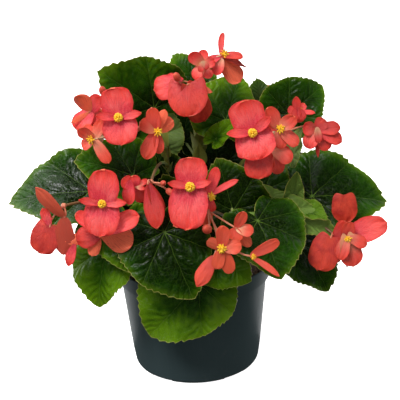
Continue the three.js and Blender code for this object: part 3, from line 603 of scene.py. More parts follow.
STEMS = [
    dict(
        root=(-30, -12), bow=(-42, -38, 175), tip=(-62, -62, 196), radius=2.6,
        leaves=[
            leaf_at(1, (-92, -47, 200), (-169, -41, 190), (-15, 50), full=-1, cup=0.12, wide=0.88,
                    tint=0.3, glossy=True),
            leaf_at(0.9, (-52, -54, 216), (-104, -56, 234), (-10, 50), full=-1, tint=0.4),
            leaf_at(0.85, (-58, -92, 188), (-57, -116, 147), (-10, 30), bend=25, full=-1, cup=-0.1,
                    wide=1.15, tint=0.55),
            leaf_at(0.6, (-77, -78, 159), (-90, -92, 102), (-30, 30), full=-1, cup=-0.1, tint=0.82),
            inner_leaf(0.8, (-46, -40, 164), (-80, -46, 196), (-5, 35), 0.3, full=-1),
        ],
        sprays=[
            spray_at(
                "d", 0.97, (-69, -106, 205),
                bloom_of("male", size=0.95), bloom_of("half"), bloom_of("half"),
            ),
            spray_at("e", 1, (-112, -98, 206), bloom_of("half"), bloom_of("half")),
        ],
    ),
    dict(
        root=(-14, -4), bow=(-20, -10, 190), tip=(-22, -22, 232), radius=2.8,
        leaves=[
            leaf_at(1, (-31, -6, 266), (-79, -22, 308), (-5, 25), bend=25, full=-1, tint=0.5),
            leaf_at(0.9, (-38, -2, 232), (-58, 20, 276), (-10, 55), bend=20, full=-1, tint=0.45,
                    grey=0.6),
            leaf_at(0.75, (-23, -22, 196), (-66, -26, 224), (0, 30), bend=25, cup=0, tint=0.05),
        ],
        sprays=[
            spray_at(
                "a", 0.98, (-44, -72, 266),
                bloom_of("male", size=1.05), bloom_of("female", roll=20), bloom_of("half"),
                bloom_of("female", roll=10), bloom_of("bud", (-72, -72, 299), (-20, 60), size=0.8),
            ),
            # The first bloom of this spray is a bud in the CAD model.
            spray_at(
                "f", 0.85, (-34, -102, 226),
                bloom_of("half"), bloom_of("folded"),
                bloom_of("bud", (-24, -112, 228), (20, 20), size=0.6),
                bloom_of("bud", (-20, -112, 222), (40, -20), size=0.7),
            ),
        ],
    ),
    dict(
        root=(6, 4), bow=(10, 8, 200), tip=(12, 2, 252), radius=2.8,
        leaves=[
            leaf_at(0.97, (12, 36, 278), (-11, 56, 302), (0, 40), bend=15, tint=0.5),
            leaf_at(0.95, (36, -4, 250), (52, 30, 284), (10, 25), bend=20, cup=0.15, wide=1.1,
                    tint=0.65),
            leaf_at(0.8, (26, -22, 238), (45, -18, 255), (0, 40), bend=20, cup=0.3, wide=0.65,
                    tint=0.9),
            inner_leaf(0.7, (-6, 24, 222), (4, 30, 262), (0, 25), 0.2),
            inner_leaf(0.6, (-12, -30, 168), (-24, -36, 210), (-5, 25), 0.1),
        ],
        sprays=[
            spray_at(
                "b", 1, (12, -22, 288),
                bloom_of("half"), bloom_of("half"), bloom_of("female", size=0.85),
                bloom_of("female", roll=20, size=1.1), bloom_of("bud", face=(-30, 60), size=0.8),
            ),
        ],
    ),
    dict(
        root=(22, 8), bow=(40, 0, 190), tip=(60, -18, 226), radius=2.6,
        leaves=[
            leaf_at(1, (96, -4, 253), (131, 10, 277), (10, 30), bend=25, cup=0.15, wide=1.1,
                    tint=0.35),
            leaf_at(0.9, (94, -50, 226), (104, -46, 254), (-30, 30), bend=20, cup=0.3, wide=0.5,
                    tint=0.9, grey=0.8, glossy=True),
            inner_leaf(0.7, (26, 12, 192), (60, 8, 226), (0, 35), 0.1),
            inner_leaf(0.95, (74, 30, 248), (70, 38, 279), (0, 30), 0.3, grey=0.15),
        ],
        sprays=[
            spray_at(
                "c", 0.97, (72, -74, 250),
                bloom_of("male", roll=20, size=1.05), bloom_of("female"), bloom_of("half"),
                bloom_of("half"), bloom_of("female", size=0.8), bloom_of("half"),
            ),
        ],
    ),
    dict(
        root=(30, -10), bow=(62, -30, 160), tip=(86, -48, 182), radius=2.6,
        leaves=[
            leaf_at(1, (113, -45, 185), (184, -40, 174), (15, 50), cup=0.12, tint=0.3),
            leaf_at(0.85, (70, -36, 190), (86, -22, 222), (-10, 30), bend=20, tint=0.15),
            leaf_at(0.95, (94, -69, 193), (97, -71, 219), (0, 20), bend=15, cup=1.2, wide=0.6,
                    tint=1.1, grey=0.5),
            leaf_at(0.97, (104, -76, 182), (122, -88, 178), (20, 50), bend=20, cup=0.9, wide=0.8,
                    tint=1.0, grey=0.15),
            leaf_at(0.6, (96, -66, 145), (125, -84, 105), (35, 30), cup=-0.1, wide=1.1, tint=0.3),
            inner_leaf(0.9, (70, -76, 186), (136, -86, 159), (10, 40), 1.0, cup=0.9, wide=0.42,
                       grey=0.6),
        ],
        sprays=[
            spray_at(
                "i", 0.9, (128, -88, 163),
                bloom_of("half"), bloom_of("folded"), bloom_of("half"), bloom_of("female", size=0.9),
            ),
        ],
    ),
    dict(
        root=(16, -24), bow=(28, -60, 170), tip=(38, -84, 182), radius=2.4,
        leaves=[
            leaf_at(0.95, (58, -106, 187), (75, -141, 146), (20, 35), bend=25, cup=-0.05, wide=1.15,
                    tint=0.3),
            leaf_at(0.8, (20, -106, 156), (50, -122, 136), (10, 25), bend=20, full=-1, cup=0, wide=1.1,
                    tint=0.6),
            leaf_at(1, (38, -76, 186), (26, -62, 232), (-10, 25), bend=20, full=-1, wide=1.1, tint=0),
            inner_leaf(0.6, (30, -62, 146), (2, -66, 182), (0, 30), 0.1, full=-1),
        ],
        sprays=[
            spray_at(
                "h", 0.85, (14, -124, 206),
                bloom_of("female"), bloom_of("folded"), bloom_of("half"),
                bloom_of("bud", (14, -142, 195), (-20, 30)), bloom_of("half", roll=10, size=0.95),
            ),
        ],
    ),
    dict(
        root=(0, -38), bow=(2, -70, 170), tip=(4, -92, 190), radius=2.4,
        leaves=[
            leaf_at(0.95, (-24, -116, 184), (-1, -138, 128), (-5, 30), bend=25, full=-1, cup=-0.05,
                    wide=1.05, tint=0.15),
            leaf_at(0.6, (4, -104, 128), (-45, -98, 72), (-5, 20), bend=25, full=-1, cup=-0.1,
                    tint=0.75, glossy=True),
        ],
        sprays=[
            spray_at("g", 1, (6, -114, 210), bloom_of("male", size=1.1), bloom_of("female")),
        ],
    ),
    dict(
        root=(-28, 22), bow=(-50, 40, 165), tip=(-62, 52, 190), radius=2.6,
        leaves=[
            leaf_at(1, (-78, 56, 190), (-136, 92, 166), (-125, 55), full=-1),
            leaf_at(0.8, (-68, 76, 162), (-108, 124, 124), (-145, 55)),
            leaf_at(0.6, (-84, 0, 176), (-140, 10, 154), (-105, 55), bend=25),
        ],
        sprays=[
            spray_at(
                "j", 0.97, (-66, 72, 222),
                bloom_of("male", (-76, 98, 232), (-145, 25)),
                bloom_of("female", (-96, 78, 226), (-110, 10)),
            ),
        ],
    ),
    dict(
        root=(30, 22), bow=(52, 36, 165), tip=(66, 46, 190), radius=2.6,
        leaves=[
            leaf_at(1, (86, 46, 194), (146, 70, 174), (115, 55)),
            leaf_at(0.8, (68, 76, 160), (108, 124, 122), (145, 55), full=-1),
            leaf_at(0.6, (88, 6, 172), (148, 14, 149), (100, 55), bend=25, full=-1),
        ],
        sprays=[
            spray_at(
                "k", 0.97, (76, 76, 220),
                bloom_of("male", (86, 102, 232), (140, 25)),
                bloom_of("female", (64, 96, 214), (170, 0)),
            ),
        ],
    ),
    dict(
        root=(0, 30), bow=(0, 50, 180), tip=(2, 66, 214), radius=2.6,
        leaves=[
            leaf_at(1, (6, 84, 208), (14, 146, 188), (175, 55)),
            leaf_at(0.75, (-4, 92, 172), (0, 150, 132), (-175, 55), full=-1),
            leaf_at(0.95, (-20, 64, 240), (-62, 92, 254), (-150, 55), bend=25),
            leaf_at(0.93, (28, 62, 240), (78, 88, 250), (145, 55), bend=25, full=-1),
            leaf_at(0.7, (-2, 34, 186), (4, 26, 240), (0, 15), bend=15, cup=0.05, wide=1.3, tint=0.25),
        ],
        sprays=[
            spray_at(
                "l", 0.98, (6, 96, 236),
                bloom_of("male", (8, 116, 246), (178, 25)),
                bloom_of("female", (-14, 106, 240), (-150, 20)),
            ),
        ],
    ),
]
print("leaves:", sum(len(stem["leaves"]) for stem in STEMS))

# %% [markdown]
# ## One flat leaf as the pattern for all
#
# A leaf could be grown from a grid, a bent plane or a sculpted disc. A disc of rings fits best, as
# each point then has an angle from the midrib and a share of the way to the edge, which is how the
# outline, the veins and the teeth are described. It starts as a circle. Insetting its face gives the
# rings, and poking the last small face closes the middle.

# %% The flat leaf: a disc of rings
LEAF_TEETH = 54
LEAF_SPOKES = 3 * LEAF_TEETH
LEAF_RINGS = 12

bpy.ops.mesh.primitive_circle_add(vertices=LEAF_SPOKES, radius=1, fill_type="NGON")
flat_leaf = bpy.context.object
bpy.ops.object.mode_set(mode="EDIT")
for _ in range(LEAF_RINGS - 1):
    bpy.ops.mesh.inset(thickness=1 / LEAF_RINGS)
bpy.ops.mesh.poke()
bpy.ops.object.mode_set(mode="OBJECT")
flat_leaf.data.materials.append(LEAF_TOP)
flat_leaf.data.materials.append(LEAF_UNDER)
disc = points_of(flat_leaf)
LEAF_ANGLE = np.arctan2(disc[:, 1], disc[:, 0])
LEAF_SHARE = np.minimum(np.hypot(disc[:, 0], disc[:, 1]), 1.0)
print("flat leaf:", len(disc), "points in", LEAF_RINGS, "rings")

# %% [markdown]
# ## Shaping a leaf
#
# The outline is a smooth curve through the reach of the edge at every 30 degrees, with the notch where
# the stalk joins. It is lopsided, as begonia leaves are. The blade sinks along its eight main veins,
# puffs up between them, waves toward its edge and bends down along the midrib.

# %% Leaf shape
LEAF_THICKNESS = 0.6
LEAF_PLEAT = 0.03
LEAF_WAVE = 0.03
LEAF_WAVES = 5
EDGE_RUFFLE = 0.014
EDGE_RUFFLES = 11
TOOTH_DEPTH = 0.013
LOBE_DEPTH = 0.012
TIP_REACH = 0.1
TIP_ANGLE = 0.17
LEAF_REACH = np.array([0.9, 0.8, 0.7, 0.66, 0.62, 0.5, 0.12, 0.36, 0.48, 0.54, 0.6, 0.72])


def leaf_reach(angle):
    """How far the edge reaches at an angle from the midrib, as a share of the leaf's length."""
    count = len(LEAF_REACH)
    place = (angle / (2 * math.pi) * count) % count
    i = np.floor(place).astype(int)
    t = place - i
    p, q, r, s = (LEAF_REACH[(i + k) % count] for k in (-1, 0, 1, 2))
    curve = q + 0.5 * t * (r - p + t * (2 * p - 5 * q + 4 * r - s + t * (3 * (q - r) + s - p)))
    from_tip = np.minimum(place, count - place) * 2 * math.pi / count
    return curve + TIP_REACH * np.exp(-from_tip / TIP_ANGLE)


def leaf_axes(leaf):
    """The foot of a blade, the ways along, across and out of it, its length and its turn per length."""
    start, tip = np.array(leaf["joint"], float), np.array(leaf["tip"], float)
    span, chord = np.linalg.norm(tip - start), unit(tip - start)
    face = direction(leaf["face"])
    face = unit(face - face.dot(chord) * chord)
    half = math.radians(leaf["bend"]) / 2
    along = chord * math.cos(half) + face * math.sin(half)
    out = face * math.cos(half) - chord * math.sin(half)
    length = span * half / math.sin(half)
    return start, along, np.cross(out, along), out, length, 2 * half / length


def leaf_points(leaf, angle, share):
    """Where points of the flat leaf lie on this leaf, in millimetres, and their places on its map."""
    start, along, across, out, length, turn = leaf_axes(leaf)
    phase = leaf["tip"][0]
    uneven = 1 + 0.7 * np.sin(7 * angle + phase) + 0.5 * np.sin(17 * angle)
    tooth = TOOTH_DEPTH * np.sin(LEAF_TEETH * angle) * uneven * share**8
    lobe = LOBE_DEPTH * np.cos(MAIN_VEINS * angle) * share**3
    reach = share * length * leaf_reach(angle * leaf["full"]) * (1 + tooth + lobe)
    u, v = reach * np.cos(angle), reach * np.sin(angle)
    wave = LEAF_WAVE * length * share**2 * np.sin(LEAF_WAVES * angle + phase)
    wave += EDGE_RUFFLE * length * share**4 * np.sin(EDGE_RUFFLES * angle + 2 * phase)
    pleat = LEAF_PLEAT * length * share * (1 - 2 * abs(np.sin(MAIN_VEINS / 2 * angle)))
    wide = v * leaf["wide"]
    lift = leaf["cup"] * wide**2 / length + wave - pleat
    bend = turn * u
    points = start + np.outer(np.sin(bend) * (1 / turn + lift), along)
    points += np.outer((np.cos(bend) - 1) / turn + lift * np.cos(bend), out) + np.outer(wide, across)
    return points, np.column_stack((u, v)) / length


def make_leaf(leaf, name):
    blade = copy_of(flat_leaf, name)
    points, flat = leaf_points(leaf, LEAF_ANGLE, LEAF_SHARE)
    set_points(blade, points * MM)
    lay_flat(blade, "leaf_map", flat)
    number_each_point(blade, "share", LEAF_SHARE)
    number_each_point(blade, "tint", leaf["tint"])
    number_each_point(blade, "grey", leaf["grey"])
    if leaf["glossy"]:
        blade.data.materials[0] = LEAF_GLOSSY
    apply_modifier(
        blade, "SOLIDIFY", thickness=LEAF_THICKNESS * MM, offset=0,
        material_offset=1, material_offset_rim=0,
    )
    smooth(blade, 60)
    return blade


print("a leaf of", round(leaf_axes(STEMS[0]["leaves"][0])[4]), "mm")

# %% [markdown]
# ## Canes and stalks
#
# Every cane and stalk is a round tube along a smooth curve. A Bezier curve with a bevel gives that
# directly. Its handles are the same control points that the CAD model uses. A curve can also show
# only a stretch of its length, which is how one flower stalk is green up to its seat and coral beyond.

# %% Tubes along Bezier curves
SOIL_TOP = 94
ROOT_DEPTH = 16
FOOT_HEIGHT = 3
CANE_RISE = 0.3
TAPER = 0.85
PETIOLE_RADIUS = 1.5
STALK_REACH = 0.3
STALK_RISE = 0.12
STALK_TUCK = 0.08
STALK_INSET = 0.12
LEAF_RING = 0.55
BRANCH_RADIUS = 1.3
BRANCH_SHARE = 0.4
BRANCH_BOW = 0.4
BRANCH_LEAN = 0.2
TUBE_STEPS = 14


def tube(knots, radius, finish, taper=1.0, start=0.0, end=1.0):
    """A tube through knots, each a (left handle, point, right handle) in millimetres."""
    bpy.ops.curve.primitive_bezier_curve_add()
    line = bpy.context.object.data
    line.splines[0].bezier_points.add(len(knots) - 2)
    for place, (point, knot) in enumerate(zip(line.splines[0].bezier_points, knots)):
        point.handle_left_type = point.handle_right_type = "FREE"
        left, at, right = (np.array(spot, float) * MM for spot in knot)
        point.handle_left, point.co, point.handle_right = left, at, right
        point.radius = 1 + (taper - 1) * place / (len(knots) - 1)
    line.resolution_u = TUBE_STEPS
    line.bevel_depth = radius * MM
    line.bevel_resolution = 3
    line.use_fill_caps = True
    line.bevel_factor_mapping_start = line.bevel_factor_mapping_end = "SPLINE"
    line.bevel_factor_start, line.bevel_factor_end = start, end
    line.materials.append(finish)
    bpy.ops.object.convert(target="MESH")
    smooth(bpy.context.object, 50)
    return bpy.context.object


def quadratic(start, bow, end):
    """The two knots of a curve with one control point."""
    first, second = start + (bow - start) * 2 / 3, end + (bow - end) * 2 / 3
    return [(start, start, first), (second, end, end)]


def cane_controls(stem):
    """The four control points of a cane. It leaves the soil straight up."""
    foot = np.array([*stem["root"], SOIL_TOP + FOOT_HEIGHT], float)
    bow, tip = np.array(stem["bow"], float), np.array(stem["tip"], float)
    return foot, foot + UP * CANE_RISE * np.linalg.norm(tip - foot), bow, tip


def cane_spot(stem, t):
    """The point of the cane at t and the way the cane runs there."""
    a, b, c, d = cane_controls(stem)
    at = (1 - t)**3 * a + 3 * (1 - t)**2 * t * b + 3 * (1 - t) * t**2 * c + t**3 * d
    way = (1 - t)**2 * (b - a) + 2 * (1 - t) * t * (c - b) + t**2 * (d - c)
    return at, unit(way)


def make_cane(stem):
    foot, rise, bow, tip = cane_controls(stem)
    buried = foot - UP * (ROOT_DEPTH + FOOT_HEIGHT)
    middle = foot - UP * 5
    knots = [(buried, buried, middle), (middle, foot, rise), (bow, tip, tip)]
    return tube(knots, stem["radius"], CANE, taper=TAPER)


def make_leaf_stalk(leaf, stem):
    """A stalk from the cane to the blade's underside, where it ends a little beside the notch."""
    _, along, _, out, _, _ = leaf_axes(leaf)
    ahead = leaf_points(leaf, np.zeros(1), np.full(1, LEAF_RING))[0][0]
    beside = leaf_points(leaf, np.full(1, 2 * math.pi / MAIN_VEINS), np.full(1, LEAF_RING))[0][0]
    end = np.array(leaf["joint"], float)
    end = end + (ahead - end) * STALK_INSET
    end = end + (beside - end) * STALK_INSET / 3
    start = cane_spot(stem, leaf["on"])[0]
    length = np.linalg.norm(end - start)
    leave = start + (end - start) * STALK_REACH + UP * STALK_RISE * length
    arrive = end - along * STALK_TUCK * length - out * STALK_REACH * length
    end = end - out * 0.1
    knots = [(start, start, leave), (arrive, end, end)]
    return tube(knots, PETIOLE_RADIUS, LEAF_STALK, taper=TAPER)


def spray_knots(spray, stem):
    start, way = cane_spot(stem, spray["on"])
    hub = np.array(spray["hub"], float)
    bow = start + (hub - start) * BRANCH_BOW + way * BRANCH_LEAN * np.linalg.norm(hub - start)
    return quadratic(start, bow, hub)


print("the first cane ends at", cane_spot(STEMS[0], 1)[0])

# %% [markdown]
# ## Stipules
#
# Where a leaf stalk leaves the cane, a begonia has a pair of green scales, the stipules, that once
# wrapped the bud. A flattened, hollowed ball with a drawn-out tip gives one. A cut-out sheet would do
# too, but the ball is closed from the start. They are only in the scene.

# %% Stipules
STIPULE_LENGTH = 20
STIPULE_WIDTH = 12
STIPULE_LEAN = 6
STIPULE_TURNS = (-50, 70)
# The photo shows bigger scales on the third cane. Each has its share of the cane, its turn from the
# viewer in degrees and its size.
BIG_SCALES = {3: [(0.69, -45, 1.9), (0.7, 50, 1.9), (0.77, 0, 1.5), (0.82, -40, 1.6), (0.82, 55, 1.7)]}
TOWARD_VIEWER = np.array([0.0, -1.0, 0.0])

bpy.ops.mesh.primitive_uv_sphere_add(segments=20, ring_count=14, radius=1)
stipule = bpy.context.object
stipule.data.materials.append(STIPULE_SKIN)
smooth(stipule, 60)
ball = points_of(stipule)
rise = (ball[:, 2] + 1) / 2
across = ball[:, 0] * STIPULE_WIDTH / 2 * (1.2 - rise)
hollow = ball[:, 1] * 0.4 + STIPULE_LEAN * rise**2 - across**2 / STIPULE_WIDTH
stipule_points = np.column_stack((across, hollow, rise * STIPULE_LENGTH))


def make_scale(stem, on, toward, size=1.0):
    """A scale that sits on the cane at a share of its length and stands out toward a direction."""
    at, way = cane_spot(stem, on)
    out = unit(toward - toward.dot(way) * way)
    axes = np.array([np.cross(way, out), out, way])
    scale = copy_of(stipule, "stipule")
    foot = at + out * 0.6 * stem["radius"]
    set_points(scale, (foot + size * stipule_points @ axes) * MM)
    return scale


def make_stipules(leaf, stem):
    """Two scales beside the foot of a leaf's stalk."""
    at, way = cane_spot(stem, leaf["on"])
    toward = np.array(leaf["joint"], float) - at
    return [make_scale(stem, leaf["on"], turned_about(toward, way, side)) for side in STIPULE_TURNS]


print("stipule:", len(ball), "points")

# %% [markdown]
# ## Putting the leafy stems together
#
# Cane, leaf stalks, leaves and the green ends of the flower stalks grew as one piece, so each stem is
# joined into one object that stands for its CAD node.

# %% Leafy stems
for number, stem in enumerate(STEMS, 1):
    parts = [make_cane(stem)]
    for place, leaf in enumerate(stem["leaves"]):
        parts += [make_leaf(leaf, f"leaf_{place}"), make_leaf_stalk(leaf, stem)]
        parts += make_stipules(leaf, stem)
    for on, turn, size in BIG_SCALES.get(number, ()):
        parts.append(make_scale(stem, on, turned_about(TOWARD_VIEWER, UP, turn), size))
    for spray in stem["sprays"]:
        parts.append(tube(spray_knots(spray, stem), BRANCH_RADIUS, LEAF_STALK, end=BRANCH_SHARE))
    whole = joined(parts, f"begonia_stem_{number}")
    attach(whole, "root")
    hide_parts(f"leafy_stem_{number}")
    print(whole.name, len(stem["leaves"]), "leaves,", len(whole.data.polygons), "faces")
delete(flat_leaf, stipule)

# %% [markdown]
# ## One flat petal as the pattern for all
#
# A petal is a sheet that narrows to a point at its base and is round at its end. A grid does for it:
# one way runs along the petal, the other from edge to edge, and both end rows shrink to a point, where
# their doubles are merged. The same grid becomes a broad petal or a slim one by its width and curl.

# %% The flat petal: a grid
PETAL_LONG, PETAL_WIDE = 18, 14

bpy.ops.mesh.primitive_grid_add(x_subdivisions=PETAL_LONG, y_subdivisions=PETAL_WIDE, size=2)
flat_petal = bpy.context.object
flat_petal.data.materials.append(PETAL_FACE)
flat_petal.data.materials.append(PETAL_BACK)
grid = points_of(flat_petal)
PETAL_TURN = (grid[:, 0] + 1) / 2 * math.pi
PETAL_SIDE = grid[:, 1]
print("flat petal:", len(grid), "points")

# %% [markdown]
# ## The petals that the photo shows
#
# The blooms that face the viewer can be set petal by petal, much as one arranges wax petals after a
# picture. Each bloom has the pixel of the photo where its middle is and its depth along Y. Each petal
# has the pixel where its tip is, how much nearer it is than the middle, its width and the way its front
# looks. The camera turns a pixel and a depth into a place. One could also bend a ready bloom to fit,
# but no two of these are open to the same degree.
#
# full makes a petal fuller toward its tip, heart draws the sides of its foot back as a heart's lobes,
# and root and point are how pointed its foot and its tip are. curl and cup curve it along and across.
# level moves its foot toward the front, and base is the pixel of a foot that isn't at the middle. pale
# and warm shift its colour, and a third share darkens it with painted shade where the petal hangs in
# shadow. A stalk can bow by way of a pixel behind, case=False leaves out a seed case that doesn't
# show, and stamens=True adds a small knot.

# %% What the photo shows of single petals
FRONT, BACK = (0, 20), (180, -20)


def seen(across, down, nearer, width, face=FRONT, **more):
    """A petal whose tip the photo shows at a pixel, nearer to the viewer than its bloom's middle or
    farther away, in millimetres, with its width in millimetres and the way its front looks."""
    return dict(tip=(across, down), nearer=nearer, width=width, face=face, **more)


def upper_seen(across, down, width, face, **more):
    """The upper broad petal of an open male bloom."""
    usual = dict(cup=0.15, root=0.35, point=0.6, full=0.1, heart=0.06)
    return seen(across, down, -2, width, face, **{**usual, **more})


def lower_seen(across, down, width, nearer=9, **more):
    """The lower broad petal of an open male bloom."""
    usual = dict(cup=0.12, root=0.35, point=0.8, full=-0.05, level=-1, heart=0.12)
    return seen(across, down, nearer, width, (-4, 12), **{**usual, **more})


def slim_seen(left, right):
    """The two slim petals of an open male bloom, each by its pixel and width."""
    usual = dict(cup=0.4, point=1.5, root=1.0)
    sides = ((left, 6, (-20, 30)), (right, 5, (10, 30)))
    return [seen(*side[:2], nearer, side[2], face, **usual) for side, nearer, face in sides]


